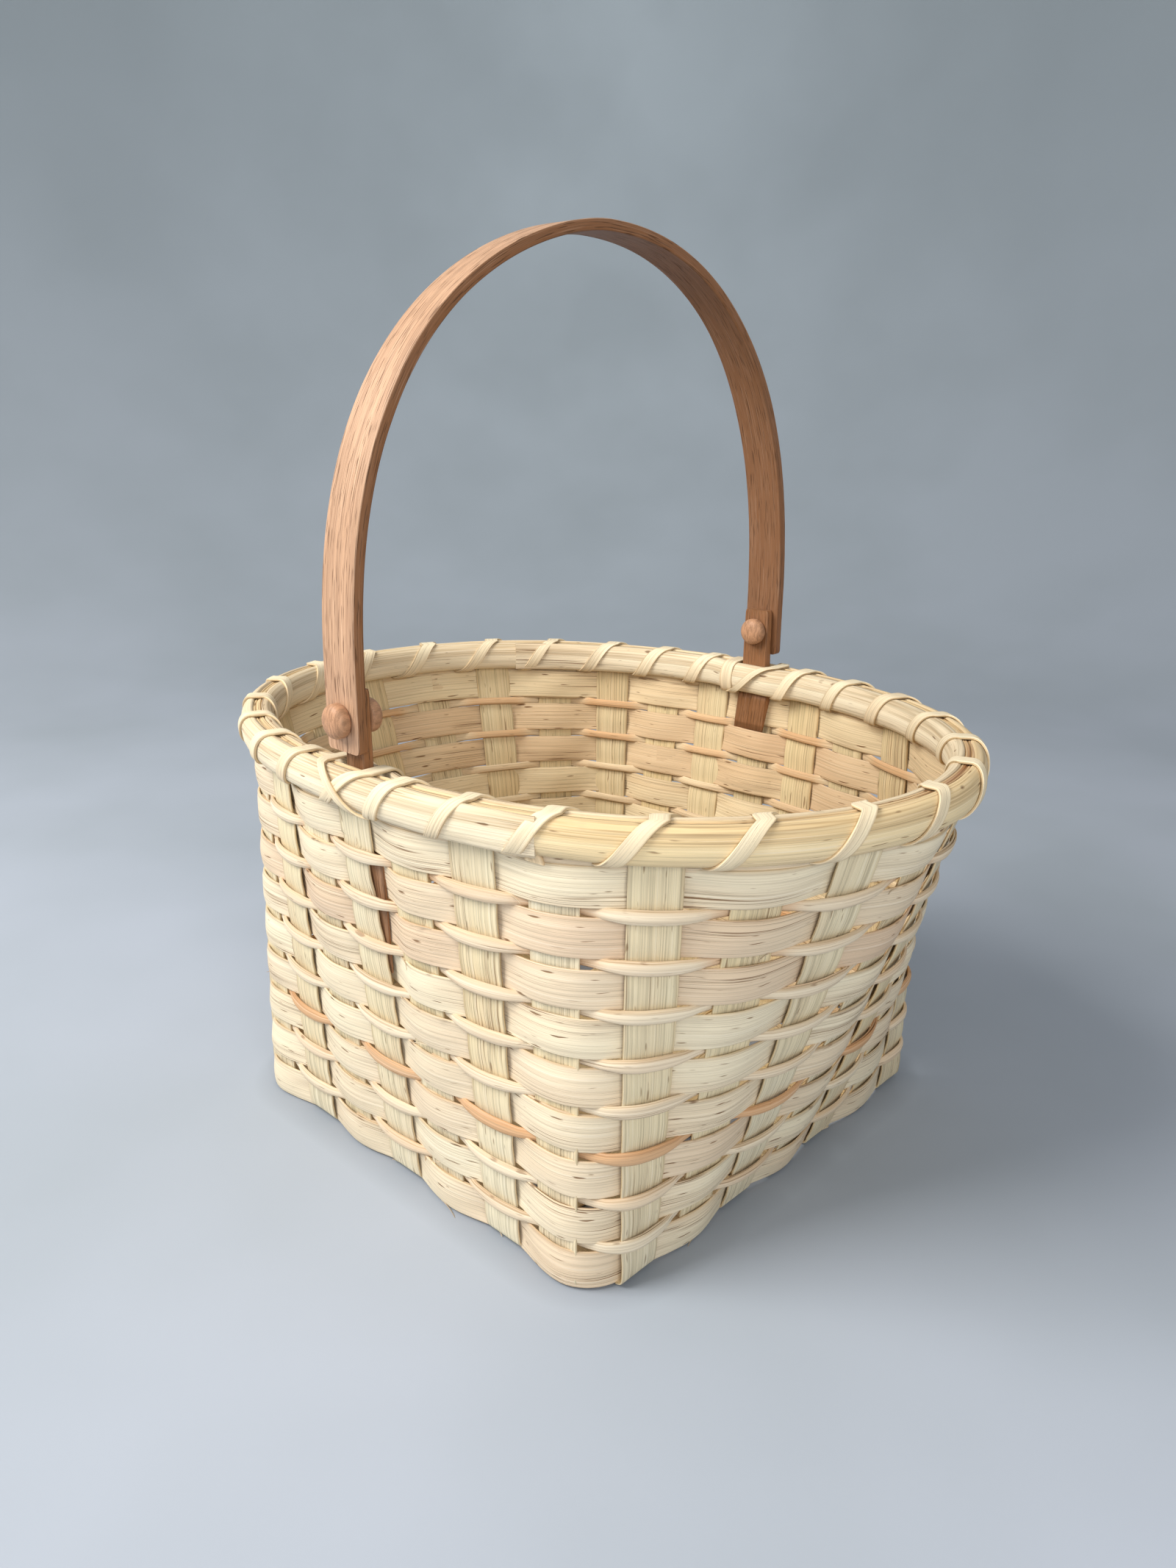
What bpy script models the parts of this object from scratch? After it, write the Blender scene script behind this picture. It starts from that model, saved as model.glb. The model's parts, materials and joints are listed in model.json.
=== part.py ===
"""A splint basket with a square base, an oval rim and a wooden swing handle.

Metres, +Z up. The origin is the middle of the underside. X runs through the two pegs that the handle
swings on. The sides are numbered counter-clockwise from +X, and so are the places of the stakes on a side.
"""

import math

import bmesh
import bpy
from mathutils import Vector

# Clearances
SEAT_GAP = 0.0003
WEAVE_GAP = 0.0008
ROW_GAP = 0.0004
SPREAD = 0.0007

# Splints, the flat strips that are woven
SPLINT_THICKNESS = 0.0012
STAKE_WIDTH = 0.01905
WIDE_ROW_HEIGHT = 0.0143
NARROW_ROW_HEIGHT = 0.0056
NARROW_ROW_THICKNESS = 0.0018
ROW_LAP = 0.0008
WIDE_ROWS = 9

# Square base
STAKES_PER_SIDE = 7
STAKE_SPACING = 0.01195
CORNER_MARGIN = 0.012
BEND_RADIUS = 0.003
BEND_STEPS = 3
CORNER_ROUND = 0.5

# Oval rim, with how much wider than the base it is each way, to the middle of the stakes
FLARE_ACROSS = 0.03345
FLARE_ALONG = 0.10845
RIM_HEIGHT = 0.015
RIM_DEPTH = 0.0045
RIM_FLATNESS = 0.7
RIM_FACE_STEPS = 5
RIM_ABOVE_ROWS = 0.0025
WALL_ABOVE_ROWS = 0.0007
FILLER_HEIGHT = 0.0022
FILLER_PROUD = 0.0003

# Lashing round the rims
LASH_THICKNESS = 0.001
LASH_RIM_GAP = 0.0008
LASH_SIDE_GAP = 0.0013
LASH_SHOULDER = 0.0035
LASH_RISE_SHARE = 0.8
LASH_FIRST_STAKE = 20

# Ears, which hold the handle, and their tails woven into the wall
EAR_WIDTH = 0.018
EAR_THICKNESS = 0.0045
EAR_ABOVE_PIVOT = 0.011
EAR_CLIP = 0.004
EAR_WALL_GAP = 0.0004
EAR_FOOT_THICKNESS = 0.0024
TAIL_ROWS = 3
TAIL_THICKNESS = 0.0012
TAIL_TIP_THICKNESS = 0.0005
TAIL_TIP_WIDTH = 0.004
TAIL_TIP_RISE = 0.004
TAIL_SHOWS = 0.0025

# Handle strap
HANDLE_WIDTH = 0.018
HANDLE_THICKNESS = 0.0045
HANDLE_RISE = 0.1788
HANDLE_BELOW_PIVOT = 0.012
HANDLE_CLIP = 0.004
LEG_STRAIGHT = 0.014
SHOULDER_ROUNDNESS = 2.2
CROWN_ROUNDNESS = 2.4
BOW_STEPS = 28
EDGE_CHAMFER = 0.0006
SWING_CLEARANCE = 0.0037

# Pegs and their caps
PEG_RADIUS = 0.003
PEG_HEAD_RADIUS = 0.00625
PEG_HEAD_HEIGHT = 0.006
CAP_CROWN = 0.0025
PEG_SIDES = 14
DOME_STEPS = 3

# The largest turn that one facet of a stake takes, which keeps its flat facets clear of the rows
FACET_TURN = math.radians(6.5)

# Edges sharper than these stay crisp, and the rest are shaded smooth
RIM_CREASE = math.radians(50)
STRAP_CREASE = math.radians(30)

# Sizes that follow from the ones above
STAKE_ENDS = 4 * STAKES_PER_SIDE
MIDDLE_PLACE = (STAKES_PER_SIDE - 1) // 2
STAKE_PITCH = STAKE_WIDTH + STAKE_SPACING
BASE_HALF = MIDDLE_PLACE * STAKE_PITCH + STAKE_WIDTH / 2 + CORNER_MARGIN
BASE_LIFT = (SPLINT_THICKNESS + SEAT_GAP) / 2
BASE_MIDDLE_Z = BASE_LIFT + SPLINT_THICKNESS / 2
REACH = STAKE_WIDTH / 2 + SPREAD

ROW_PITCH = WIDE_ROW_HEIGHT + NARROW_ROW_HEIGHT + 2 * (ROW_GAP - ROW_LAP)
FIRST_ROW_Z = 2 * BASE_MIDDLE_Z + WEAVE_GAP
ROWS_TOP_Z = FIRST_ROW_Z - ROW_LAP + (WIDE_ROWS - 1) * ROW_PITCH + WIDE_ROW_HEIGHT
ROW_OUT = SPLINT_THICKNESS + WEAVE_GAP
NARROW_ROW_OUT = (SPLINT_THICKNESS + NARROW_ROW_THICKNESS) / 2 + WEAVE_GAP

RIM_ACROSS = 2 * BASE_HALF + FLARE_ACROSS
RIM_ALONG = 2 * BASE_HALF + FLARE_ALONG
WALL_FOOT_Z = BASE_MIDDLE_Z + BEND_RADIUS
WALL_HEAD_Z = ROWS_TOP_Z + WALL_ABOVE_ROWS
RIM_BOTTOM_Z = ROWS_TOP_Z + RIM_ABOVE_ROWS
RIM_TOP_Z = RIM_BOTTOM_Z + RIM_HEIGHT
FILLER_TOP_Z = RIM_TOP_Z + FILLER_PROUD
FILLER_BOTTOM_Z = FILLER_TOP_Z - FILLER_HEIGHT
STAKE_TOP_Z = FILLER_BOTTOM_Z - SEAT_GAP
RIM_ROW_OUT = SPLINT_THICKNESS + SEAT_GAP
RIM_BACK = RIM_ROW_OUT + SPLINT_THICKNESS / 2 + SEAT_GAP
EAR_BOW = EAR_THICKNESS + SEAT_GAP

LASH_FACE = RIM_BACK + RIM_DEPTH + LASH_RIM_GAP
LASH_UNDER_Z = RIM_BOTTOM_Z - 2 * SEAT_GAP
LASH_OVER_Z = FILLER_TOP_Z + SEAT_GAP

LEG_SWEEP = max(
    math.hypot(HANDLE_WIDTH / 2, HANDLE_BELOW_PIVOT - HANDLE_CLIP),
    math.hypot(HANDLE_WIDTH / 2 - HANDLE_CLIP, HANDLE_BELOW_PIVOT),
)
PIVOT_Z = LASH_OVER_Z + LASH_THICKNESS + SWING_CLEARANCE + LEG_SWEEP
EAR_FACE = RIM_ACROSS / 2 - RIM_BACK
LEG_MIDDLE = EAR_FACE + SEAT_GAP + HANDLE_THICKNESS / 2
PEG_SEAT = LEG_MIDDLE + HANDLE_THICKNESS / 2 + SEAT_GAP
CAP_SEAT = EAR_FACE - EAR_THICKNESS - SEAT_GAP
CAP_BORE_DEPTH = PEG_HEAD_HEIGHT - CAP_CROWN
BORE_RADIUS = PEG_RADIUS + SEAT_GAP

TAIL_HEAD_Z = ROWS_TOP_Z - ROW_PITCH
EAR_FOOT_Z = ROWS_TOP_Z - WIDE_ROW_HEIGHT
TAIL_TIP_Z = TAIL_HEAD_Z - (TAIL_ROWS - 1) * ROW_PITCH - WIDE_ROW_HEIGHT + TAIL_TIP_RISE
TAIL_OUT = SPLINT_THICKNESS / 2 + SEAT_GAP

ENDS = [(side, place) for side in range(4) for place in range(STAKES_PER_SIDE)]
UP = Vector((0, 0, 1))

# Colour, roughness and metallic value of each material
FINISHES = {
    "stake_splint": ((0.66, 0.58, 0.42), 0.7, 0.0),
    "wide_splint": ((0.74, 0.64, 0.48), 0.7, 0.0),
    "narrow_reed": ((0.72, 0.60, 0.42), 0.65, 0.0),
    "amber_reed": ((0.66, 0.42, 0.22), 0.65, 0.0),
    "rim_splint": ((0.70, 0.56, 0.38), 0.6, 0.0),
    "rim_filler": ((0.40, 0.27, 0.15), 0.8, 0.0),
    "lashing_cane": ((0.74, 0.62, 0.44), 0.6, 0.0),
    "ear_wood": ((0.33, 0.19, 0.10), 0.55, 0.0),
    "peg_wood": ((0.45, 0.30, 0.18), 0.5, 0.0),
    "handle_wood": ((0.58, 0.40, 0.26), 0.5, 0.0),
}
AMBER_ROWS = (3, 7, 8)


def clear_scene():
    for item in list(bpy.data.objects):
        bpy.data.objects.remove(item, do_unlink=True)


def new_collection(name):
    collection = bpy.data.collections.new(name)
    bpy.context.scene.collection.children.link(collection)
    return collection


def make_material(name):
    colour, roughness, metallic = FINISHES[name]
    material = bpy.data.materials.new(name)
    material.use_nodes = True
    shader = material.node_tree.nodes["Principled BSDF"]
    shader.inputs["Base Color"].default_value = (*colour, 1.0)
    shader.inputs["Roughness"].default_value = roughness
    shader.inputs["Metallic"].default_value = metallic
    material.diffuse_color = (*colour, 1.0)
    return material


def place_mesh(name, bm, material, collection, smooth_under=None):
    """Turn a bmesh into a named object, with its faces pointing out."""
    bmesh.ops.recalc_face_normals(bm, faces=bm.faces)
    mesh = bpy.data.meshes.new(name)
    bm.to_mesh(mesh)
    bm.free()
    if smooth_under is not None:
        mesh.shade_smooth()
        mesh.set_sharp_from_angle(angle=smooth_under)
    mesh.materials.append(material)
    item = bpy.data.objects.new(name, mesh)
    collection.objects.link(item)
    return item


def loft(name, sections, material, collection, closed=False, smooth_under=None):
    """Skin a strip through its cross-sections, which all have the same number of points."""
    bm = bmesh.new()
    rings = [[bm.verts.new(point) for point in section] for section in sections]
    follow = rings[1:] + rings[:1] if closed else rings[1:]
    for here, there in zip(rings, follow):
        for index in range(len(here)):
            after = (index + 1) % len(here)
            bm.faces.new((here[index], here[after], there[after], there[index]))
    if not closed:
        bm.faces.new(rings[0])
        bm.faces.new(rings[-1])
    return place_mesh(name, bm, material, collection, smooth_under)


def turned(name, profile, material, collection):
    """A turned piece on its local Z axis, from a profile of (radius, z) that runs from top to bottom."""
    bm = bmesh.new()
    points = [bm.verts.new((radius, 0, z)) for radius, z in profile]
    for first, second in zip(points, points[1:]):
        bm.edges.new((first, second))
    mesh = bpy.data.meshes.new(name)
    bm.to_mesh(mesh)
    bm.free()
    mesh.materials.append(material)
    item = bpy.data.objects.new(name, mesh)
    collection.objects.link(item)
    screw = item.modifiers.new("turn", "SCREW")
    screw.axis = "Z"
    screw.steps = PEG_SIDES
    screw.render_steps = PEG_SIDES
    screw.use_merge_vertices = True
    screw.merge_threshold = 0.00001
    screw.use_smooth_shade = True
    return item


# The wall: where each stake stands at each height


def shows_outside(side, place):
    """Whether the stake lies outside the wide rows. The others are covered by them."""
    return (side + place) % 2 == 1


def carries_ear(side, place):
    return side % 2 == 0 and place == MIDDLE_PLACE


def rim_angle(side, place):
    return side * math.pi / 2 + (place - MIDDLE_PLACE) * 2 * math.pi / STAKE_ENDS


def rim_radius(angle):
    mean = (RIM_ACROSS + RIM_ALONG) / 4
    swell = (RIM_ALONG - RIM_ACROSS) / 4
    return mean - swell * math.cos(2 * angle)


def rim_heading(angle):
    """The direction of the rim's line, counter-clockwise, as an angle in the plan."""
    slope = (RIM_ALONG - RIM_ACROSS) / 2 * math.sin(2 * angle)
    return angle + math.atan2(rim_radius(angle), slope)


def foot_heading(side):
    return (side + 1) * math.pi / 2


def wall_share(z):
    """0 at the foot of the wall and 1 at its head, above which the stakes stand upright."""
    return min(1, max(0, (z - WALL_FOOT_Z) / (WALL_HEAD_Z - WALL_FOOT_Z)))


def wall_point(side, place, z):
    """The middle of a stake in the wall: the base is square and the rim oval, and the stake is straight."""
    outward = Vector((math.cos(side * math.pi / 2), math.sin(side * math.pi / 2)))
    along = Vector((-outward.y, outward.x))
    foot = outward * BASE_HALF + along * (place - MIDDLE_PLACE) * STAKE_PITCH
    angle = rim_angle(side, place)
    head = Vector((math.cos(angle), math.sin(angle))) * rim_radius(angle)
    return foot.lerp(head, wall_share(z)).to_3d() + UP * z


def wall_heading(side, place, z):
    foot = foot_heading(side)
    return foot + (rim_heading(rim_angle(side, place)) - foot) * wall_share(z)


def wall_axes(side, place, z):
    """The level tangent, counter-clockwise, and the outward normal of the wall at a stake."""
    heading = wall_heading(side, place, z)
    tangent = Vector((math.cos(heading), math.sin(heading), 0))
    return tangent, Vector((tangent.y, -tangent.x, 0))


# Stakes


def strip_section(middle, across, through):
    """The four corners of a stake's cross-section."""
    half_width = across * STAKE_WIDTH / 2
    half_thickness = through * SPLINT_THICKNESS / 2
    return [
        middle + half_width + half_thickness,
        middle - half_width + half_thickness,
        middle - half_width - half_thickness,
        middle + half_width - half_thickness,
    ]


def standing_sections(side, place, direction):
    """A stake from its top down the wall and round the bend into the base."""
    turn = abs(wall_heading(side, place, WALL_HEAD_Z) - foot_heading(side))
    steps = max(1, math.ceil(turn / FACET_TURN))
    drop = (WALL_HEAD_Z - WALL_FOOT_Z) / steps
    heights = [STAKE_TOP_Z] + [WALL_HEAD_Z - drop * step for step in range(steps + 1)]
    sections = []
    for z in heights:
        tangent, normal = wall_axes(side, place, z)
        sections.append(strip_section(wall_point(side, place, z), tangent * direction, normal))
    foot = wall_point(side, place, WALL_FOOT_Z)
    tangent, normal = wall_axes(side, place, WALL_FOOT_Z)
    centre = foot - normal * BEND_RADIUS
    for step in range(1, BEND_STEPS + 1):
        angle = step / BEND_STEPS * math.pi / 2
        through = normal * math.cos(angle) - UP * math.sin(angle)
        sections.append(strip_section(centre + through * BEND_RADIUS, tangent * direction, through))
    return sections


def lying_sections(along, across, line, lies_over):
    """A stake in the base: over one crossing stake and under the next."""
    sections = []
    for crossing in range(STAKES_PER_SIDE):
        lift = BASE_LIFT if lies_over(crossing) else -BASE_LIFT
        for edge in (-REACH, REACH):
            place = (crossing - MIDDLE_PLACE) * STAKE_PITCH + edge
            middle = along * place + across * line + UP * (BASE_MIDDLE_Z + lift)
            sections.append(strip_section(middle, across, -UP))
    return sections


def make_stakes(materials, collection):
    """Seven strips each way. Each is a stake on one side, crosses the base and is a stake opposite."""
    last = STAKES_PER_SIDE - 1
    for number in range(STAKES_PER_SIDE):
        line = (number - MIDDLE_PLACE) * STAKE_PITCH
        for letter, sides, along, across, odd_over in (
            ("x", (2, 0), Vector((1, 0, 0)), Vector((0, 1, 0)), 1),
            ("y", (3, 1), Vector((0, 1, 0)), Vector((1, 0, 0)), 0),
        ):
            start, end = (last - number, number) if letter == "x" else (number, last - number)
            ways = (-1, 1) if letter == "x" else (1, -1)
            base = lying_sections(
                along, across, line, lambda crossing: (number + crossing) % 2 == odd_over
            )
            sections = standing_sections(sides[0], start, ways[0])
            sections += base
            sections += reversed(standing_sections(sides[1], end, ways[1]))
            loft(f"stake_{letter}_{number + 1}", sections, materials["stake_splint"], collection)


# Rows


def tail_share(z):
    """0 at the tip of an ear's tail and 1 where it comes out from under the highest wide row."""
    return (z - TAIL_TIP_Z) / (TAIL_HEAD_Z - TAIL_TIP_Z)


def tail_thickness(z):
    return TAIL_TIP_THICKNESS + (TAIL_THICKNESS - TAIL_TIP_THICKNESS) * tail_share(z)


def tail_edge(z):
    """How far the tail reaches along the wall from the middle of its stake, on the side where it shows."""
    return STAKE_WIDTH / 2 + TAIL_SHOWS * tail_share(z)


def ring_section(side, place, along, profile):
    """A profile of (out, z) points set beside a stake, with the wall's direction at its mid height."""
    middle = sum(z for _, z in profile) / len(profile)
    tangent, normal = wall_axes(side, place, middle)
    return [wall_point(side, place, z) + tangent * along + normal * out for out, z in profile]


def gap_section(before, after, turn, lap):
    """The section midway between two stakes, bulged out at a corner. Both of its edges are drawn in by lap."""
    chord = sum((b - a for a, b in zip(before, after)), Vector()) / len(before)
    outward = Vector((chord.y, -chord.x, 0)).normalized()
    bulge = CORNER_ROUND * chord.length / 2 * math.tan(turn / 2)
    section = [(a + b) / 2 + outward * bulge for a, b in zip(before, after)]
    middle = sum(point.z for point in section) / len(section)
    return [point + UP * math.copysign(lap, middle - point.z) for point in section]


def corner_turn(side, z):
    """The angle that the wall turns through between the last stake of a side and the next."""
    following = (side + 1) % 4
    turn = wall_heading(following, 0, z) - wall_heading(side, STAKES_PER_SIDE - 1, z)
    return turn % (2 * math.pi)


def row_section_pair(side, place, low, high, wide):
    """The two sections of a row at one stake, where the row lies flat against it."""
    thickness = SPLINT_THICKNESS if wide else NARROW_ROW_THICKNESS
    out = ROW_OUT if wide else NARROW_ROW_OUT
    if wide == shows_outside(side, place):
        out = -out
    reach_after = REACH
    if wide and carries_ear(side, place) and TAIL_TIP_Z < high < EAR_FOOT_Z:
        out = -(TAIL_OUT + tail_thickness(high) + SEAT_GAP + SPLINT_THICKNESS / 2)
        reach_after = max(REACH, tail_edge(high) + SPREAD)
    inner = out - thickness / 2
    outer = out + thickness / 2
    profile = [(inner, low), (outer, low), (outer, high), (inner, high)]
    return [ring_section(side, place, along, profile) for along in (-REACH, reach_after)]


def make_row(name, low, high, wide, material, collection):
    """One closed row of weaving round the wall, in and out of the stakes.

    A narrow row tapers toward the middle of each gap, where the wide rows' edges lap over it.
    """
    lap = 0 if wide else ROW_LAP
    sections = []
    for number, (side, place) in enumerate(ENDS):
        sections += row_section_pair(side, place, low, high, wide)
        following = row_section_pair(*ENDS[(number + 1) % STAKE_ENDS], low, high, wide)
        at_corner = place == STAKES_PER_SIDE - 1
        if at_corner or not wide:
            turn = corner_turn(side, (low + high) / 2) if at_corner else 0
            sections.append(gap_section(sections[-1], following[0], turn, lap))
    loft(name, sections, material, collection, closed=True)


def make_rows(materials, collection):
    """The rows from the base up. The lowest has no reed to lap under it, so it is narrower by that."""
    for row in range(WIDE_ROWS):
        low = FIRST_ROW_Z - ROW_LAP + row * ROW_PITCH
        high = low + WIDE_ROW_HEIGHT
        name = f"wide_row_{row + 1}"
        make_row(name, max(low, FIRST_ROW_Z), high, True, materials["wide_splint"], collection)
    for row in range(WIDE_ROWS - 1):
        low = FIRST_ROW_Z - ROW_LAP + row * ROW_PITCH + WIDE_ROW_HEIGHT + ROW_GAP - ROW_LAP
        high = low + NARROW_ROW_HEIGHT
        finish = "amber_reed" if row + 1 in AMBER_ROWS else "narrow_reed"
        make_row(f"narrow_row_{row + 1}", low, high, False, materials[finish], collection)


# Rim


def rim_ring(name, profile_at, material, collection, smooth_under=None):
    """A closed ring at the rim, flat along each stake. profile_at gives its (out, z) points at a stake."""
    sections = []
    for side, place in ENDS:
        for along in (-REACH, REACH):
            sections.append(ring_section(side, place, along, profile_at(side, place)))
    loft(name, sections, material, collection, closed=True, smooth_under=smooth_under)


def half_oval(facing, back):
    """A rim's profile: a flat back, and a face that bows out from it. facing is 1 outward and -1 inward."""
    middle = (RIM_BOTTOM_Z + RIM_TOP_Z) / 2
    points = []
    for step in range(RIM_FACE_STEPS + 1):
        angle = math.pi * (step / RIM_FACE_STEPS - 1 / 2)
        depth = RIM_DEPTH * max(0, math.cos(angle)) ** RIM_FLATNESS
        points.append((facing * (back + depth), middle + RIM_HEIGHT / 2 * math.sin(angle)))
    return points


def make_rims(materials, collection):
    def rim_row_profile(side, place):
        out = -RIM_ROW_OUT if shows_outside(side, place) else RIM_ROW_OUT
        half = SPLINT_THICKNESS / 2
        low = RIM_BOTTOM_Z + SEAT_GAP
        high = STAKE_TOP_Z
        return [(out - half, low), (out + half, low), (out + half, high), (out - half, high)]

    def outer_profile(_side, _place):
        return half_oval(1, RIM_BACK)

    def inner_profile(side, place):
        bow = EAR_BOW if carries_ear(side, place) else 0
        return half_oval(-1, RIM_BACK + bow)

    def filler_profile(_side, _place):
        half = RIM_BACK - SEAT_GAP
        return [
            (-half, FILLER_BOTTOM_Z),
            (half, FILLER_BOTTOM_Z),
            (half, FILLER_TOP_Z),
            (-half, FILLER_TOP_Z),
        ]

    rim_ring("rim_row", rim_row_profile, materials["narrow_reed"], collection)
    rim_ring("outer_rim", outer_profile, materials["rim_splint"], collection, RIM_CREASE)
    rim_ring("inner_rim", inner_profile, materials["rim_splint"], collection, RIM_CREASE)
    rim_ring("rim_filler", filler_profile, materials["rim_filler"], collection)


# Lashing


def gap_after(number):
    """The level chord between a stake's spread edge and the next one's, at the rim."""
    near = ring_section(*ENDS[number], REACH, [(0, RIM_TOP_Z)])[0]
    far = ring_section(*ENDS[(number + 1) % STAKE_ENDS], -REACH, [(0, RIM_TOP_Z)])[0]
    return (far - near).length


def beside_stake(number, along, out, z):
    """A point on the rim's faceted line, along it from the middle of a stake and out from it."""
    if abs(along) <= REACH:
        return ring_section(*ENDS[number], along, [(out, z)])[0]
    way = 1 if along > 0 else -1
    here = ENDS[number]
    there = ENDS[(number + way) % STAKE_ENDS]
    share = (abs(along) - REACH) / gap_after(number if way > 0 else number - 1)
    extra = EAR_BOW if out < 0 else 0
    near_out = out - extra if carries_ear(*here) else out
    far_out = out - extra if carries_ear(*there) else out
    near = ring_section(*here, way * REACH, [(near_out, z)])[0]
    far = ring_section(*there, -way * REACH, [(far_out, z)])[0]
    return near.lerp(far, share)


def lash_profile(layer):
    """One turn round the rims as (out, z) corners, from under the inner rim. layer is the depth outward."""
    face = LASH_FACE + layer
    shoulder = LASH_SHOULDER + layer * (2 - math.sqrt(2))
    under = LASH_UNDER_Z - layer
    over = LASH_OVER_Z + layer
    return [
        (-face, under),
        (face, under),
        (face, over - shoulder),
        (face - shoulder, over),
        (-face + shoulder, over),
        (-face, over - shoulder),
    ]


def make_lashing(materials, collection):
    """A strip wound once round the rims in each gap: it crosses under them between two stakes, leans as it
    climbs, and crosses over them above a stake, or just past an ear."""
    width = min(gap_after(number) for number in range(STAKE_ENDS)) + 2 * SPREAD - 2 * LASH_SIDE_GAP
    sections = []
    for turn in range(STAKE_ENDS):
        number = (LASH_FIRST_STAKE + turn) % STAKE_ENDS
        start = -(REACH + gap_after(number - 1) / 2)
        finish = REACH + gap_after(number) / 2
        crest = 0
        if carries_ear(*ENDS[number]):
            crest = finish
        alongs = [
            start,
            start,
            start + (crest - start) * LASH_RISE_SHARE,
            crest,
            crest,
            finish + (crest - finish) * LASH_RISE_SHARE,
        ]
        for along, inner, outer in zip(alongs, lash_profile(0), lash_profile(LASH_THICKNESS)):
            sections.append(
                [
                    beside_stake(number, along - width / 2, *inner),
                    beside_stake(number, along + width / 2, *inner),
                    beside_stake(number, along + width / 2, *outer),
                    beside_stake(number, along - width / 2, *outer),
                ]
            )
    loft("lashing", sections, materials["lashing_cane"], collection)


# Ears, handle and pegs


def strap_section(middle, across, through, width, thickness):
    """The eight corners of a strap's cross-section, with its long edges chamfered."""
    chamfer = min(EDGE_CHAMFER, thickness / 4)
    half_width = width / 2
    half_thickness = thickness / 2
    corners = []
    for side, face in ((1, 1), (-1, 1), (-1, -1), (1, -1)):
        on_side = middle + across * side * half_width + through * face * (half_thickness - chamfer)
        on_face = middle + across * side * (half_width - chamfer) + through * face * half_thickness
        corners += [on_side, on_face] if side * face > 0 else [on_face, on_side]
    return corners


def make_ear(name, side, material, collection):
    """A strap held in the rim, with a thin tail woven down the wall beside its stake."""
    tangent, normal = wall_axes(side, MIDDLE_PLACE, RIM_TOP_Z)
    top = PIVOT_Z + EAR_ABOVE_PIVOT
    row_face = ROW_OUT + SPLINT_THICKNESS / 2 + EAR_WALL_GAP
    head_shift = tail_edge(TAIL_HEAD_Z) - EAR_WIDTH / 2
    tip_shift = tail_edge(TAIL_TIP_Z) - TAIL_TIP_WIDTH / 2
    inset = SEAT_GAP / 2
    stations = (
        (top, RIM_BACK, EAR_THICKNESS, 0, EAR_WIDTH - 2 * EAR_CLIP),
        (top - EAR_CLIP, RIM_BACK, EAR_THICKNESS, 0, EAR_WIDTH),
        (RIM_BOTTOM_Z, RIM_BACK, EAR_THICKNESS, 0, EAR_WIDTH),
        (ROWS_TOP_Z, row_face, EAR_THICKNESS, 0, EAR_WIDTH),
        (EAR_FOOT_Z - inset, row_face, EAR_FOOT_THICKNESS, head_shift / 2, EAR_WIDTH),
        (TAIL_HEAD_Z + inset, TAIL_OUT, TAIL_THICKNESS, head_shift, EAR_WIDTH),
        (TAIL_TIP_Z, TAIL_OUT, TAIL_TIP_THICKNESS, tip_shift, TAIL_TIP_WIDTH),
    )
    sections = []
    for z, face, thickness, shift, width in stations:
        middle = wall_point(side, MIDDLE_PLACE, z) + tangent * shift - normal * (face + thickness / 2)
        sections.append(strap_section(middle, tangent, normal, width, thickness))
    return loft(name, sections, material, collection)


def bow_line(share):
    """The strap's centre line from leg to leg over the crown, in the plane of the handle."""
    angle = math.pi * share
    half_span = math.copysign(abs(math.cos(angle)) ** (2 / SHOULDER_ROUNDNESS), math.cos(angle))
    height = abs(math.sin(angle)) ** (2 / CROWN_ROUNDNESS)
    return Vector((LEG_MIDDLE * half_span, 0, LEG_STRAIGHT + (HANDLE_RISE - LEG_STRAIGHT) * height))


def make_handle(material, collection):
    """One bent strap. Its origin is on the line through the pegs."""
    pivot = bpy.data.objects.new("handle_pivot", None)
    pivot.location = (0, 0, PIVOT_Z)
    collection.objects.link(pivot)
    across = Vector((0, 1, 0))
    leg_stations = (
        (-HANDLE_BELOW_PIVOT, HANDLE_WIDTH - 2 * HANDLE_CLIP),
        (-HANDLE_BELOW_PIVOT + HANDLE_CLIP, HANDLE_WIDTH),
    )
    sections = []
    for z, width in leg_stations:
        middle = Vector((LEG_MIDDLE, 0, z))
        sections.append(strap_section(middle, across, Vector((1, 0, 0)), width, HANDLE_THICKNESS))
    for step in range(BOW_STEPS + 1):
        here = bow_line(step / BOW_STEPS)
        if step in (0, BOW_STEPS):
            through = Vector((1 if step == 0 else -1, 0, 0))
        else:
            nudge = 0.001
            slope = bow_line(step / BOW_STEPS + nudge) - bow_line(step / BOW_STEPS - nudge)
            through = Vector((slope.z, 0, -slope.x)).normalized()
        sections.append(strap_section(here, across, through, HANDLE_WIDTH, HANDLE_THICKNESS))
    for z, width in reversed(leg_stations):
        middle = Vector((-LEG_MIDDLE, 0, z))
        sections.append(strap_section(middle, across, Vector((-1, 0, 0)), width, HANDLE_THICKNESS))
    handle = loft("handle", sections, material, collection, smooth_under=STRAP_CREASE)
    handle.parent = pivot
    return handle


def dome(radius, height):
    """The (radius, z) points of a domed head, from its crown to its edge."""
    points = []
    for step in range(DOME_STEPS + 1):
        angle = math.pi / 2 * (1 - step / DOME_STEPS)
        points.append((radius * max(0, math.cos(angle)), height * math.sin(angle)))
    points[0] = (0, height)
    return points


def make_peg(name, way, material, collection):
    """A peg with a domed head outside the handle. way is 1 on the +X side and -1 on the other."""
    tip = CAP_SEAT - CAP_BORE_DEPTH + SEAT_GAP
    length = PEG_SEAT - tip
    profile = dome(PEG_HEAD_RADIUS, PEG_HEAD_HEIGHT)
    profile += [(PEG_RADIUS, 0), (PEG_RADIUS, -length), (0, -length)]
    peg = turned(name, profile, material, collection)
    peg.location = (way * PEG_SEAT, 0, PIVOT_Z)
    peg.rotation_euler = (0, way * math.pi / 2, 0)


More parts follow.
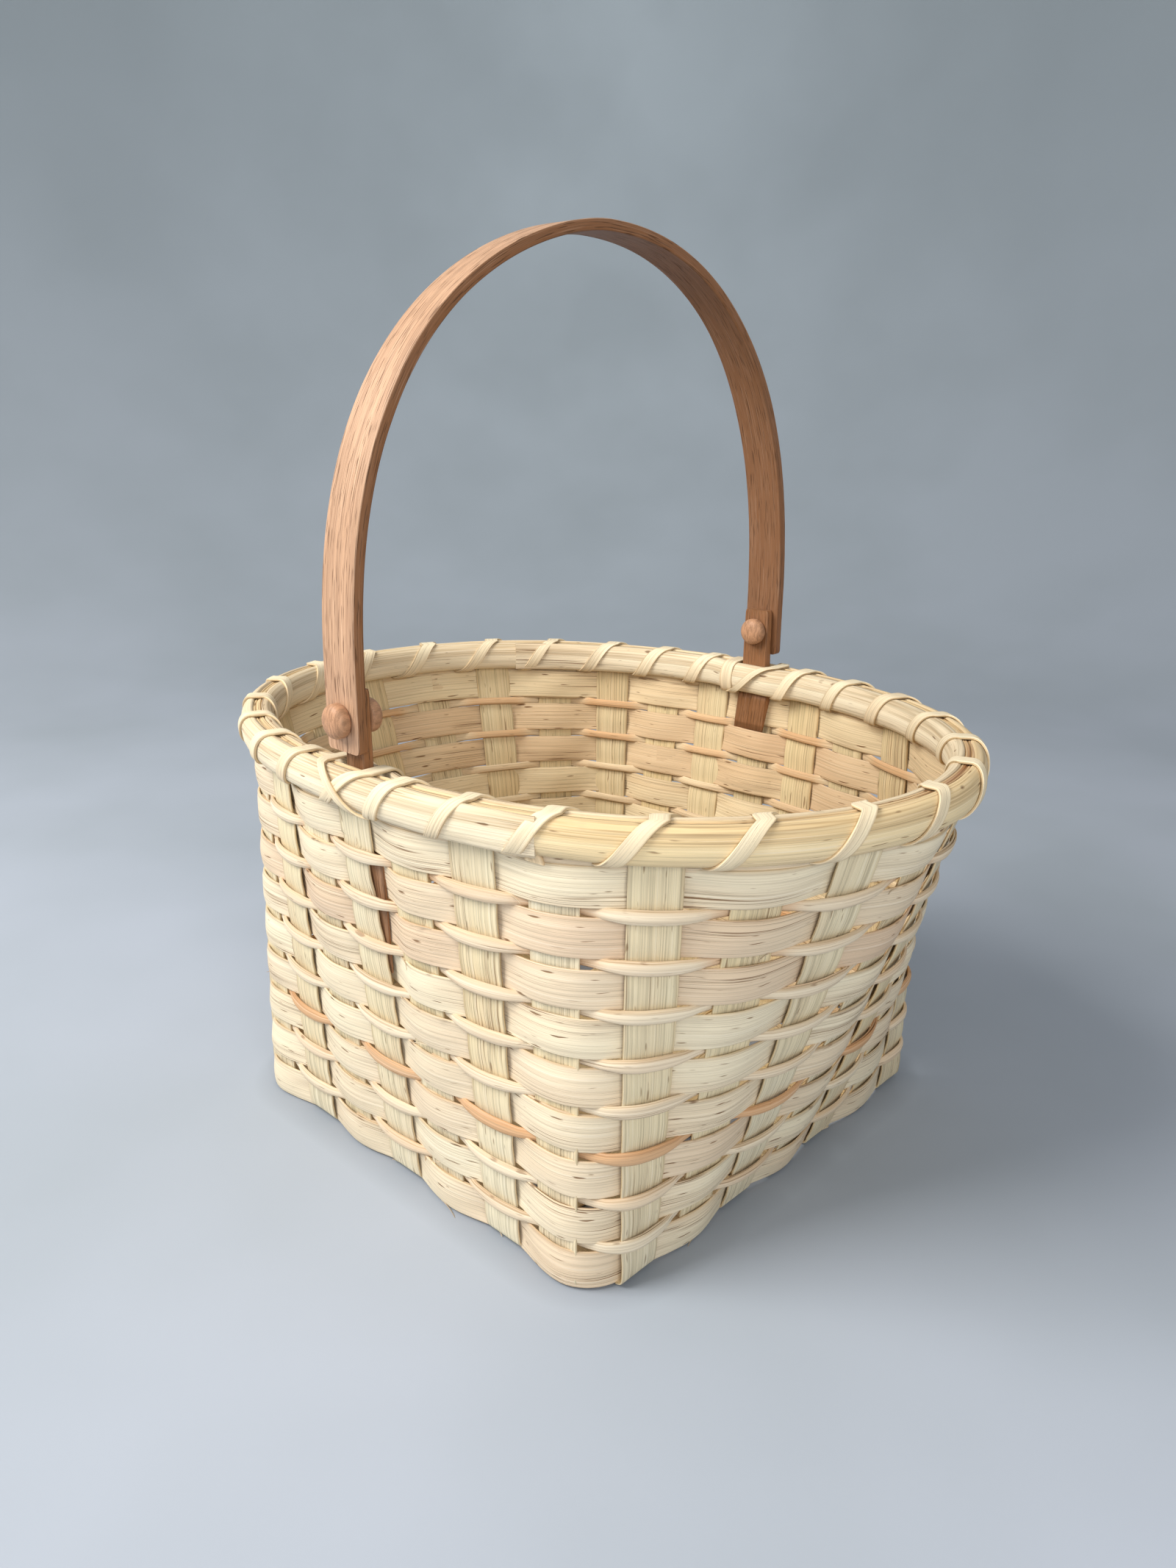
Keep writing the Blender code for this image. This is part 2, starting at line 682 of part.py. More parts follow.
def make_peg_cap(name, way, material, collection):
    """A domed cap driven on the peg's end, inside the ear."""
    profile = dome(PEG_HEAD_RADIUS, PEG_HEAD_HEIGHT)
    profile += [(BORE_RADIUS, 0), (BORE_RADIUS, CAP_BORE_DEPTH), (0, CAP_BORE_DEPTH)]
    cap = turned(name, profile, material, collection)
    cap.location = (way * CAP_SEAT, 0, PIVOT_Z)
    cap.rotation_euler = (0, -way * math.pi / 2, 0)


def make_bore_cutter(name, way, cutters):
    """The hole for a peg, through the handle's leg and the ear."""
    middle = (EAR_FACE + LEG_MIDDLE) / 2
    bpy.ops.mesh.primitive_cylinder_add(
        vertices=PEG_SIDES,
        radius=BORE_RADIUS,
        depth=4 * (EAR_THICKNESS + HANDLE_THICKNESS),
        location=(way * middle, 0, PIVOT_Z),
        rotation=(0, math.pi / 2, 0),
    )
    cutter = bpy.context.object
    cutter.name = name
    for collection in list(cutter.users_collection):
        collection.objects.unlink(cutter)
    cutters.objects.link(cutter)
    cutter.hide_render = True
    cutter.display_type = "WIRE"
    return cutter


def cut(item, cutter):
    boolean = item.modifiers.new("bore", "BOOLEAN")
    boolean.operation = "DIFFERENCE"
    boolean.solver = "EXACT"
    boolean.object = cutter


def make_handle_and_ears(materials, collection, cutters):
    handle = make_handle(materials["handle_wood"], collection)
    for label, side, way in (("left", 2, -1), ("right", 0, 1)):
        ear = make_ear(f"{label}_ear", side, materials["ear_wood"], collection)
        cutter = make_bore_cutter(f"{label}_bore", way, cutters)
        cut(ear, cutter)
        cut(handle, cutter)
        make_peg(f"{label}_peg", way, materials["peg_wood"], collection)
        make_peg_cap(f"{label}_peg_cap", way, materials["peg_wood"], collection)


def main():
    clear_scene()
    basket = new_collection("basket")
    cutters = new_collection("cutters")
    materials = {name: make_material(name) for name in FINISHES}
    make_stakes(materials, basket)
    make_rows(materials, basket)
    make_rims(materials, basket)
    make_lashing(materials, basket)
    make_handle_and_ears(materials, basket, cutters)


main()
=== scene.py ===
"""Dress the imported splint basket: its woven splints, lashed rims and bent swing handle, in a plain studio.

Metres, +Z up. Sides are numbered counter-clockwise from +X, and so are the places of the stakes on a side.
A place on the wall's loop is counted in stakes, from 0 to 28, counter-clockwise from the first stake of +X.
"""

import json
import math
import random

import bmesh
import bpy
from mathutils import Matrix, Vector, noise


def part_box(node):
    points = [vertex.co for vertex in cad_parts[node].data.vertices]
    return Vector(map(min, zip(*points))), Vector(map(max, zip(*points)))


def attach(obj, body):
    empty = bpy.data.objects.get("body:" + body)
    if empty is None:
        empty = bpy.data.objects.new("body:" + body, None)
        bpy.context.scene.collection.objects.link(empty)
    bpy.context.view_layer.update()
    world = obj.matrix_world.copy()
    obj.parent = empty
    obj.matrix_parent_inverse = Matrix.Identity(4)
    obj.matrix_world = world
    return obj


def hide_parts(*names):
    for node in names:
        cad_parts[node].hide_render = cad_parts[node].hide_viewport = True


bl_info = {
    "name": "Splint Basket",
    "version": (1, 0, 0),
    "blender": (4, 5, 0),
    "location": "3D View > Sidebar > Basket",
    "description": "Weaves a splint basket with a lashed rim and a swing handle round a packed frame",
    "category": "Object",
}

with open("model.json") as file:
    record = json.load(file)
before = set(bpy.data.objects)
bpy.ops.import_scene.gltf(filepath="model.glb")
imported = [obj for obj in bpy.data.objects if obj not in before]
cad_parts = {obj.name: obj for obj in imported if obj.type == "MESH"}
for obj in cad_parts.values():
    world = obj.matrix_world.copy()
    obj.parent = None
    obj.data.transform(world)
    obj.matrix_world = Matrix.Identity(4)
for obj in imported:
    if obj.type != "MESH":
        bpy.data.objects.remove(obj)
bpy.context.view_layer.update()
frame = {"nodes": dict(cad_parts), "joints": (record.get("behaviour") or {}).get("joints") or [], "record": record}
UP = Vector((0, 0, 1))

# Sizes of the frame that its boxes give
STAKES_PER_SIDE = 7
STAKE_ENDS = 4 * STAKES_PER_SIDE
MIDDLE_PLACE = (STAKES_PER_SIDE - 1) // 2
WIDE_ROWS = sum(1 for node in frame["nodes"] if node.startswith("wide_row_"))
NARROW_ROWS = sum(1 for node in frame["nodes"] if node.startswith("narrow_row_"))
SOLID_SPLINT = 0.0012
STAKE_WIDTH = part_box("stake_x_4")[1].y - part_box("stake_x_4")[0].y
STAKE_TOP_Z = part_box("stake_x_4")[1].z
HALF_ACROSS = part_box("stake_x_4")[1].x - SOLID_SPLINT / 2
HALF_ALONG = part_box("stake_y_4")[1].y - SOLID_SPLINT / 2
ROWS_TOP_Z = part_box(f"wide_row_{WIDE_ROWS}")[1].z
ROW_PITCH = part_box("wide_row_2")[1].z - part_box("wide_row_1")[1].z
WIDE_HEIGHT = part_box("wide_row_2")[1].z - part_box("wide_row_2")[0].z
FIRST_ROW_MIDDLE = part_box("wide_row_1")[1].z - WIDE_HEIGHT / 2
RIM_BOTTOM_Z, RIM_TOP_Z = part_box("outer_rim")[0].z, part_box("outer_rim")[1].z
PIVOT_Z = frame["joints"][0]["pos_m"][2]
LEG_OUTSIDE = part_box("handle")[1].x
HANDLE_TOP_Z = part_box("handle")[1].z
HANDLE_FOOT_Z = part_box("handle")[0].z
HANDLE_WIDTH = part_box("handle")[1].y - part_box("handle")[0].y
EAR_TOP_Z, EAR_TIP_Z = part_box("right_ear")[1].z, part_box("right_ear")[0].z
PEG_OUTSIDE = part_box("right_peg")[1].x
CAP_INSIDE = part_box("right_peg_cap")[0].x

# Sizes of the frame that no box gives
STAKE_PITCH = 0.031
BASE_HALF = 0.114525
BEND_RADIUS = 0.003
BASE_MIDDLE_Z = 0.00135
WALL_FOOT_Z = BASE_MIDDLE_Z + BEND_RADIUS
WALL_HEAD_Z = ROWS_TOP_Z + 0.0007
STRAP_THICKNESS = 0.0045
EAR_BOW = STRAP_THICKNESS + 0.0003
LEG_STRAIGHT = 0.014
SHOULDER_ROUNDNESS = 2.2
CROWN_ROUNDNESS = 2.4

# The two rims' section and the lashing, which are fuller and closer together than the frame's
RIM_MIDDLE = (RIM_BOTTOM_Z + RIM_TOP_Z) / 2
RIM_HALF_HEIGHT = (RIM_TOP_Z - RIM_BOTTOM_Z) / 2
RIM_BACK = 0.0016
RIM_CREST = 0.0007
RIM_DEPTH = 0.006
FILLER_STRANDS = 4
FILLER_WIDTH = 0.0026
FILLER_REACH = 0.0007
RIM_ROW_BULGE = 0.0014
LASH_WIDTH = 0.0072
LASH_THICKNESS = 0.0011

# The pegs, and the caps on their inner ends
PEG_HEAD_HEIGHT = 0.006
PEG_STEM_RADIUS = 0.003
CAP_BORE_RADIUS = 0.0033
CAP_WALL = 0.0025

# Factors and shifts where the photo shows it otherwise than the frame
LEG_SPREAD = 1.08
CROWN_SPREAD = 0.99
NEAR_SHOULDER_SAG = 0.0036
PEG_SPREAD = 1.06
NEAR_EAR_SPREAD = 0.76
FIRST_ROW_DROP = 0.0007
FIRST_ROW_SPREAD = 1.04

# Places round the wall's loop, counted in stakes
FAR_EAR_STAKE = MIDDLE_PLACE
NEAR_EAR_STAKE = 2 * STAKES_PER_SIDE + MIDDLE_PLACE
LASH_FIRST_STAKE = 20
BARE_FILLER_STAKE = 24.8
RIM_OVERLAP = 2.2
OUTER_RIM_START = 19.86 - RIM_OVERLAP
INNER_RIM_START = 5.4
WIDE_OVERLAP = 3
REED_OVERLAP = 2

# The tail of an ear, which pushes the stake beside it over and the wide rows in
TAIL_SHOWN = 0.0042
TAIL_PUSH = 0.0014
TAIL_PUSH_SHIFT = 0.16
STAKE_SLIMMING = 0.25

# Rows that stand out by their colour
PINK_ROWS = (7, 8)
PEACH_ROW = "narrow_row_3"

# How unevenly the strips lie
ROW_DRIFT = 0.0007
WIDE_LEAN = 0.09
REED_LEAN = 0.05
STAKE_DRIFT = 0.0006
RIM_DRIFT = 0.0005

# How far a stake goes up and down where it crosses others in the base, and how round a splint's edges are
BASE_LIFT = 0.0006
SPLINT_ROUNDING = 0.0003

# Fineness of the meshes
STATIONS_PER_STAKE = 14
STATION_STEP = 0.0022

# The level directions of the camera's view, and what the lamps look at
VIEW_AHEAD = Vector((0.728, 0.686, 0.0))
VIEW_RIGHT = Vector((0.686, -0.728, 0.0))
LAMP_TARGET = Vector((0, 0, 0.1))


def srgb(red, green, blue):
    """A linear colour from the 0 to 255 values that a screen shows."""
    linear = []
    for level in (red, green, blue):
        share = level / 255
        linear.append(share / 12.92 if share <= 0.04045 else ((share + 0.055) / 1.055) ** 2.4)
    return tuple(linear)


WHITE = (1.0, 1.0, 1.0)


def rgba(colour):
    return (*colour[:3], 1.0)


# Settings


class BASKET_PG_weave(bpy.types.PropertyGroup):
    splint_thickness: bpy.props.FloatProperty(
        name="Splint Thickness", description="Thickness of stakes and wide rows", default=0.001, unit="LENGTH"
    )
    wide_height: bpy.props.FloatProperty(
        name="Wide Row Height", description="Height of the wide rows", default=0.0153, unit="LENGTH"
    )
    reed_height: bpy.props.FloatProperty(
        name="Reed Height", description="Height of the narrow rows", default=0.0057, unit="LENGTH"
    )
    reed_thickness: bpy.props.FloatProperty(
        name="Reed Thickness", description="Thickness of the narrow rows", default=0.0021, unit="LENGTH"
    )
    row_bulge: bpy.props.FloatProperty(
        name="Row Bulge", description="How far a wide row swings out and in", default=0.0021, unit="LENGTH"
    )
    reed_bulge: bpy.props.FloatProperty(
        name="Reed Bulge", description="How far a narrow row swings out and in", default=0.0023, unit="LENGTH"
    )
    stake_ripple: bpy.props.FloatProperty(
        name="Stake Ripple", description="How far the rows push a stake", default=0.0003, unit="LENGTH"
    )
    cup: bpy.props.FloatProperty(
        name="Cup", description="Crown across the face of a wide row", default=0.0008, unit="LENGTH"
    )
    ragged: bpy.props.FloatProperty(
        name="Ragged Edges", description="How far the edges of a splint wander", default=0.00016,
        unit="LENGTH"
    )
    ripple: bpy.props.FloatProperty(
        name="Ripple", description="How far the face of a splint waves", default=0.00022, unit="LENGTH"
    )
    loose_fibres: bpy.props.IntProperty(
        name="Loose Fibres", description="How many fine fibres stand off each wide row", default=9, min=0
    )


class BASKET_PG_finish(bpy.types.PropertyGroup):
    splint: bpy.props.FloatVectorProperty(
        name="Splint", description="Colour of the wide rows", subtype="COLOR", default=srgb(234, 220, 190)
    )
    splint_pink: bpy.props.FloatVectorProperty(
        name="Pink Splint", description="Colour of the pinker wide rows", subtype="COLOR",
        default=srgb(214, 184, 154)
    )
    stake: bpy.props.FloatVectorProperty(
        name="Stake", description="Colour of the stakes", subtype="COLOR", default=srgb(226, 214, 184)
    )
    reed: bpy.props.FloatVectorProperty(
        name="Reed", description="Colour of the narrow rows", subtype="COLOR", default=srgb(232, 216, 188)
    )
    amber: bpy.props.FloatVectorProperty(
        name="Amber", description="Colour of the darker reeds", subtype="COLOR", default=srgb(208, 152, 98)
    )
    rim: bpy.props.FloatVectorProperty(
        name="Rim", description="Colour of the two rims", subtype="COLOR", default=srgb(237, 222, 192)
    )
    rim_gold: bpy.props.FloatVectorProperty(
        name="Golden Rim", description="Colour of the rims' yellower stretches", subtype="COLOR",
        default=srgb(234, 208, 158)
    )
    filler: bpy.props.FloatVectorProperty(
        name="Filler", description="Colour of the strands between the rims", subtype="COLOR",
        default=srgb(222, 196, 152)
    )
    lashing: bpy.props.FloatVectorProperty(
        name="Lashing", description="Colour of the lashing", subtype="COLOR", default=srgb(238, 222, 188)
    )
    handle: bpy.props.FloatVectorProperty(
        name="Handle", description="Colour of the handle", subtype="COLOR", default=srgb(192, 150, 118)
    )
    handle_inside: bpy.props.FloatVectorProperty(
        name="Handle Inside", description="Colour of the handle's inner face", subtype="COLOR",
        default=srgb(118, 76, 44)
    )
    ear: bpy.props.FloatVectorProperty(
        name="Ear", description="Colour of the ears", subtype="COLOR", default=srgb(138, 94, 60)
    )
    peg: bpy.props.FloatVectorProperty(
        name="Peg", description="Colour of the pegs", subtype="COLOR", default=srgb(186, 140, 106)
    )


class BASKET_PG_studio(bpy.types.PropertyGroup):
    floor: bpy.props.FloatVectorProperty(
        name="Floor", description="Colour of the floor", subtype="COLOR", default=srgb(168, 174, 184)
    )
    wall: bpy.props.FloatVectorProperty(
        name="Wall", description="Colour of the backdrop's upper part", subtype="COLOR",
        default=srgb(150, 158, 163)
    )
    key_power: bpy.props.FloatProperty(
        name="Key Power", description="Power of the large soft lamp on the left", default=33.0, unit="POWER"
    )
    fill_power: bpy.props.FloatProperty(
        name="Fill Power", description="Power of the low lamp in front", default=9.0, unit="POWER"
    )
    sky: bpy.props.FloatProperty(name="Sky", description="Strength of the even light", default=0.5, min=0.0)


# Node trees


class Graph:
    """A node tree, with short calls that add nodes and join them."""

    def __init__(self, tree):
        self.tree = tree

    def node(self, kind, **settings):
        node = self.tree.nodes.new(kind)
        for name, value in settings.items():
            setattr(node, name, value)
        return node

    def feed(self, socket, value):
        if isinstance(value, bpy.types.NodeSocket):
            self.tree.links.new(value, socket)
        else:
            socket.default_value = value

    def math(self, operation, first, second=0.0):
        node = self.node("ShaderNodeMath", operation=operation)
        self.feed(node.inputs[0], first)
        self.feed(node.inputs[1], second)
        return node.outputs[0]

    def times(self, *factors):
        """Multiply two values or more."""
        product = factors[0]
        for factor in factors[1:]:
            product = self.math("MULTIPLY", product, factor)
        return product

    def vector(self, operation, first, second=None, scale=None):
        node = self.node("ShaderNodeVectorMath", operation=operation)
        self.feed(node.inputs[0], first)
        if second is not None:
            self.feed(node.inputs[1], second)
        if scale is not None:
            self.feed(node.inputs["Scale"], scale)
        return node.outputs["Value" if operation in ("LENGTH", "DOT_PRODUCT") else "Vector"]

    def combine(self, x, y, z=0.0):
        node = self.node("ShaderNodeCombineXYZ")
        for socket, value in zip(node.inputs, (x, y, z)):
            self.feed(socket, value)
        return node.outputs[0]

    def separate(self, vector):
        node = self.node("ShaderNodeSeparateXYZ")
        self.feed(node.inputs[0], vector)
        return node.outputs

    def noise(self, place, scale=1.0, detail=2.0, roughness=0.5):
        node = self.node("ShaderNodeTexNoise")
        self.feed(node.inputs["Vector"], place)
        self.feed(node.inputs["Scale"], scale)
        self.feed(node.inputs["Detail"], detail)
        self.feed(node.inputs["Roughness"], roughness)
        return node.outputs[0]

    def span(self, value, low, high, to_low=0.0, to_high=1.0):
        """Map a value from one span to another, held at its ends."""
        node = self.node("ShaderNodeMapRange", clamp=True)
        for socket, number in zip(node.inputs, (value, low, high, to_low, to_high)):
            self.feed(socket, number)
        return node.outputs[0]

    def attribute(self, name):
        return self.node("ShaderNodeAttribute", attribute_name=name).outputs["Fac"]

    def blend(self, share, first, second, way="MIX"):
        """Mix two colours."""
        node = self.node("ShaderNodeMix", data_type="RGBA", blend_type=way, clamp_factor=True)
        self.feed(node.inputs["Factor"], share)
        self.feed(node.inputs[6], rgba(first) if isinstance(first, tuple) else first)
        self.feed(node.inputs[7], rgba(second) if isinstance(second, tuple) else second)
        return node.outputs[2]


def scaled(colour, factor):
    return tuple(min(1.0, level * factor) for level in colour[:3])


def toward(colour, other, share):
    return tuple(a + (b - a) * share for a, b in zip(colour[:3], other[:3]))


def strip_place(graph):
    """Where a point lies on a strip: how far along it, and how far across it from the middle."""
    along, across, _z = graph.separate(graph.node("ShaderNodeUVMap", uv_map="UVMap").outputs[0])
    return along, across


def grain_noise(graph, place, along, across, detail=2.0, roughness=0.5):
    """Noise on a strip, with a scale along the grain and one across it."""
    stretched = graph.combine(graph.times(place[0], along), graph.times(place[1], across))
    return graph.noise(stretched, detail=detail, roughness=roughness)


def new_material(name, roughness):
    material = bpy.data.materials.new(name)
    material.use_nodes = True
    graph = Graph(material.node_tree)
    shader = material.node_tree.nodes["Principled BSDF"]
    shader.inputs["Roughness"].default_value = roughness
    shader.inputs["Specular IOR Level"].default_value = 0.25
    return material, graph, shader


def finish_surface(graph, shader, colour, height, depth, rough_low, rough_high):
    """Join a colour and a bump height to a material's shader. The roughness follows the height."""
    graph.feed(shader.inputs["Base Color"], colour)
    graph.feed(shader.inputs["Roughness"], graph.span(height, 0.0, 1.0, rough_high, rough_low))
    bump = graph.node("ShaderNodeBump")
    bump.inputs["Strength"].default_value = 1.0
    bump.inputs["Distance"].default_value = depth
    graph.feed(bump.inputs["Height"], height)
    graph.feed(shader.inputs["Normal"], bump.outputs[0])


def splint_material(name, pale, deep, width, lines, groove, flecks, depth):
    """Split wood: ridges and grooves along the strip, hairline splits, short dark flecks and soft patches.

    The strip's tone attribute blends pale into deep. width is the strip's own, whose edges are a little
    darker. lines is how many fibres lie in a metre of width. groove and flecks are how strongly those show,
    and depth is the height of the bump.
    """
    material, graph, shader = new_material(name, 0.6)
    pale, deep = tuple(pale[:3]), tuple(deep[:3])
    dark = scaled(toward(pale, deep, 0.4), 0.46)
    brown = srgb(116, 80, 46)
    stained = toward(toward(pale, deep, 0.3), srgb(222, 180, 138), 0.45)
    place = strip_place(graph)
    ridge = grain_noise(graph, place, 6, lines, 3.0, 0.7)
    fine = grain_noise(graph, place, 18, lines * 2.7, 2.0, 0.6)
    hair = grain_noise(graph, place, 3.5, lines * 0.55, 1.0)
    patch = grain_noise(graph, place, 10, 50)
    stain = grain_noise(graph, place, 36, 280, 3.0, 0.6)
    dash = grain_noise(graph, place, 90, lines * 0.6, 1.0)

    # Soft patches, dark grooves that are partly the grain's own colour and partly painted shade in the grooves,
    # and a painted highlight on the tops of the ridges
    shade = graph.blend(graph.attribute("tone"), pale, deep)
    shade = graph.blend(graph.span(patch, 0.42, 0.7, 0.0, 0.5), shade, stained)
    shade = graph.blend(graph.span(ridge, 0.52, 0.36, 0.0, groove), shade, dark)
    # Painted highlight: the tops of the ridges are made lighter
    shade = graph.blend(graph.span(ridge, 0.56, 0.7, 0.0, 0.4), shade, toward(pale, WHITE, 0.35))
    shade = graph.blend(graph.span(fine, 0.46, 0.34, 0.0, groove * 0.6), shade, dark)

    # Hairline splits, stains and flecks
    split = graph.math("ABSOLUTE", graph.math("SUBTRACT", hair, 0.5))
    split = graph.times(graph.span(split, 0.004, 0.012, 1.0, 0.0), graph.span(patch, 0.5, 0.56))
    shade = graph.blend(graph.times(split, flecks), shade, brown)
    shade = graph.blend(graph.span(stain, 0.64, 0.8, 0.0, 0.4), shade, toward(pale, brown, 0.5))
    fleck = graph.span(dash, 0.69, 0.75)
    shade = graph.blend(graph.times(fleck, flecks), shade, brown)

    # Darker edges, partly the fibrous cut edge and partly painted shade along the edges, and a darker face inside
    # the basket
    edge = graph.span(graph.math("ABSOLUTE", place[1]), width * 0.43, width * 0.52, 0.0, 0.75)
    edge = graph.times(edge, graph.span(fine, 0.3, 0.6, 1.0, 0.4))
    shade = graph.blend(edge, shade, (0.56, 0.44, 0.31), "MULTIPLY")
    shade = graph.blend(graph.attribute("inside"), shade, (0.93, 0.86, 0.74), "MULTIPLY")

    height = graph.math("ADD", graph.times(ridge, 0.65), graph.times(fine, 0.35))
    height = graph.math("SUBTRACT", height, graph.times(graph.math("ADD", fleck, split), 0.3))
    finish_surface(graph, shader, shade, height, depth, 0.5, 0.8)
    return material


def plank_material(name, colour, inner_colour, pores):
    """Smoothed wood: growth bands along the strip, and thin dark pores that show where it was cut."""
    material, graph, shader = new_material(name, 0.45)
    colour, inner_colour = tuple(colour[:3]), tuple(inner_colour[:3])
    place = strip_place(graph)
    band = grain_noise(graph, place, 3, 300)
    fine = grain_noise(graph, place, 22, 3000, 3.0, 0.65)
    pore = grain_noise(graph, place, 80, 1700, 1.0)
    cloud = grain_noise(graph, place, 14, 80)

    # Clouds and bands, then the inner face and the flanks, both partly painted shade
    light = toward(colour, srgb(236, 198, 162), 0.6)
    line = toward(colour, inner_colour, 0.5)
    shade = graph.blend(graph.span(cloud, 0.35, 0.7, 0.0, 0.5), colour, light)
    shade = graph.blend(graph.span(band, 0.40, 0.60, 0.0, 0.55), shade, scaled(colour, 0.7))
    # On the handle the inner face's darker colour is partly the wood's own and partly painted shade
    shade = graph.blend(graph.times(graph.attribute("inside"), 0.9), shade, inner_colour)
    # The flanks take a colour from the inner one: on the handle, partly end grain and partly painted shade of its
    # side faces
    shade = graph.blend(graph.times(graph.attribute("flank"), 0.85), shade, scaled(inner_colour, 1.35))

    # Fine lines, a painted highlight on their tops, and the pores
    shade = graph.blend(graph.span(fine, 0.52, 0.36, 0.0, 0.7), shade, scaled(line, 0.5))
    shade = graph.blend(graph.span(fine, 0.56, 0.7, 0.0, 0.3), shade, toward(colour, (1.0, 0.88, 0.72), 0.4))
    shade = graph.blend(graph.span(pore, 0.60, 0.66, 0.0, pores), shade, scaled(inner_colour, 0.45))
    height = graph.math("SUBTRACT", graph.times(fine, 0.5), graph.span(pore, 0.62, 0.68, 0.0, 0.5))
    height = graph.math("ADD", height, 0.5)
    finish_surface(graph, shader, shade, height, 0.00016, 0.4, 0.65)
    return material


# Strips made by geometry nodes


def add_input(tree, name, kind):
    return tree.interface.new_socket(name=name, in_out="INPUT", socket_type=kind)


def named(graph, name, kind="FLOAT"):
    node = graph.node("GeometryNodeInputNamedAttribute", data_type=kind)
    node.inputs["Name"].default_value = name
    return next(out for out in node.outputs if out.enabled and out.name == "Attribute")


def store(graph, geometry, name, value, kind="FLOAT", domain="POINT"):
    node = graph.node("GeometryNodeStoreNamedAttribute", data_type=kind, domain=domain)
    graph.feed(node.inputs["Geometry"], geometry)
    node.inputs["Name"].default_value = name
    graph.feed(node.inputs["Value"], value)
    return node.outputs["Geometry"]


def build_strip_tree():
    """Sweep a profile along a wire path.

    The profile lies in its object's XY plane, with X through the strip and Y across it. The path's points
    carry the same two directions, the factors thin and narrow that scale the profile, and a share of the cup.
    """
    tree = bpy.data.node_groups.new("basket_strip", "GeometryNodeTree")
    add_input(tree, "Geometry", "NodeSocketGeometry")
    add_input(tree, "Profile", "NodeSocketObject")
    add_input(tree, "Width", "NodeSocketFloat").default_value = STAKE_WIDTH
    for name in ("Cup", "Ragged", "Ripple", "Seed"):
        add_input(tree, name, "NodeSocketFloat")
    add_input(tree, "Material", "NodeSocketMaterial")
    tree.interface.new_socket(name="Geometry", in_out="OUTPUT", socket_type="NodeSocketGeometry")
    graph = Graph(tree)
    given = graph.node("NodeGroupInput").outputs

    position = graph.node("GeometryNodeInputPosition").outputs[0]
    path = store(graph, given["Geometry"], "centre", position, "FLOAT_VECTOR")
    rail = graph.node("GeometryNodeMeshToCurve")
    graph.feed(rail.inputs[0], path)
    length = graph.node("GeometryNodeSplineParameter").outputs["Length"]
    rail = store(graph, rail.outputs[0], "along", length)

    info = graph.node("GeometryNodeObjectInfo", transform_space="ORIGINAL")
    graph.feed(info.inputs["Object"], given["Profile"])
    profile = graph.node("GeometryNodeMeshToCurve")
    graph.feed(profile.inputs[0], info.outputs["Geometry"])
    depth, reach, _z = graph.separate(graph.node("GeometryNodeInputPosition").outputs[0])
    profile = store(graph, profile.outputs[0], "depth", depth)
    profile = store(graph, profile, "reach", reach)

    sweep = graph.node("GeometryNodeCurveToMesh")
    graph.feed(sweep.inputs["Curve"], rail)
    graph.feed(sweep.inputs["Profile Curve"], profile)
    graph.feed(sweep.inputs["Fill Caps"], True)

    # Edges that fray quickly and swell slowly, and a face that waves and is crowned by the cup
    along, depth, reach = named(graph, "along"), named(graph, "depth"), named(graph, "reach")
    side = graph.math("DIVIDE", reach, graph.times(given["Width"], 0.5))
    seed = graph.times(given["Seed"], 7.31)
    quick = graph.combine(graph.times(along, 130.0), side, seed)
    slow = graph.combine(graph.times(along, 17.0), graph.times(side, 0.6), seed)
    fray = graph.math("SUBTRACT", graph.noise(quick, detail=3.0, roughness=0.7), 0.5)
    swell = graph.math("SUBTRACT", graph.noise(slow, detail=1.0), 0.5)
    wander = graph.math("ADD", graph.times(fray, 3.0), graph.times(swell, 5.0))
    wander = graph.times(wander, given["Ragged"], side)
    across = graph.times(graph.math("ADD", reach, wander), named(graph, "narrow"))
    wave_place = graph.combine(graph.times(along, 45.0), graph.times(side, 1.3), seed)
    wave = graph.math("SUBTRACT", graph.noise(wave_place, detail=2.0), 0.5)
    crown = graph.math("SUBTRACT", 1.0, graph.times(side, side))
    crown = graph.times(crown, given["Cup"], named(graph, "bow"))
    lift = graph.math("ADD", graph.times(depth, named(graph, "thin")), crown)
    lift = graph.math("ADD", lift, graph.times(wave, 4.0, given["Ripple"]))
    sideways = graph.vector("SCALE", named(graph, "across", "FLOAT_VECTOR"), scale=across)
    outward = graph.vector("SCALE", named(graph, "through", "FLOAT_VECTOR"), scale=lift)
    place = graph.vector("ADD", named(graph, "centre", "FLOAT_VECTOR"), sideways)
    place = graph.vector("ADD", place, outward)
    move = graph.node("GeometryNodeSetPosition")
    graph.feed(move.inputs["Geometry"], sweep.outputs[0])
    graph.feed(move.inputs["Position"], place)

    # The UV map runs along and across the strip, and the attributes mark its inner face and its two flanks
    u = graph.math("ADD", along, graph.times(given["Seed"], 0.37))
    uv = graph.combine(u, graph.math("ADD", reach, depth))
    marked = store(graph, move.outputs[0], "UVMap", uv, "FLOAT2", "CORNER")
    marked = store(graph, marked, "inside", graph.math("LESS_THAN", depth, -0.0001))
    marked = store(graph, marked, "flank", graph.math("GREATER_THAN", graph.math("ABSOLUTE", side), 0.99))
    smooth = graph.node("GeometryNodeSetShadeSmooth")
    graph.feed(smooth.inputs["Geometry"], marked)
    whole = graph.node("GeometryNodeRealizeInstances")
    graph.feed(whole.inputs[0], smooth.outputs[0])
    coat = graph.node("GeometryNodeSetMaterial")
    graph.feed(coat.inputs["Geometry"], whole.outputs[0])
    graph.feed(coat.inputs["Material"], given["Material"])
    graph.feed(graph.node("NodeGroupOutput").inputs[0], coat.outputs[0])
    return tree


def set_input(modifier, name, value):
    """Set a geometry nodes input by its socket's identifier."""
    for item in modifier.node_group.interface.items_tree:
        if item.item_type == "SOCKET" and item.in_out == "INPUT" and item.name == name:
            modifier[item.identifier] = value
            return
    raise ValueError(f"the tree has no input named {name}")


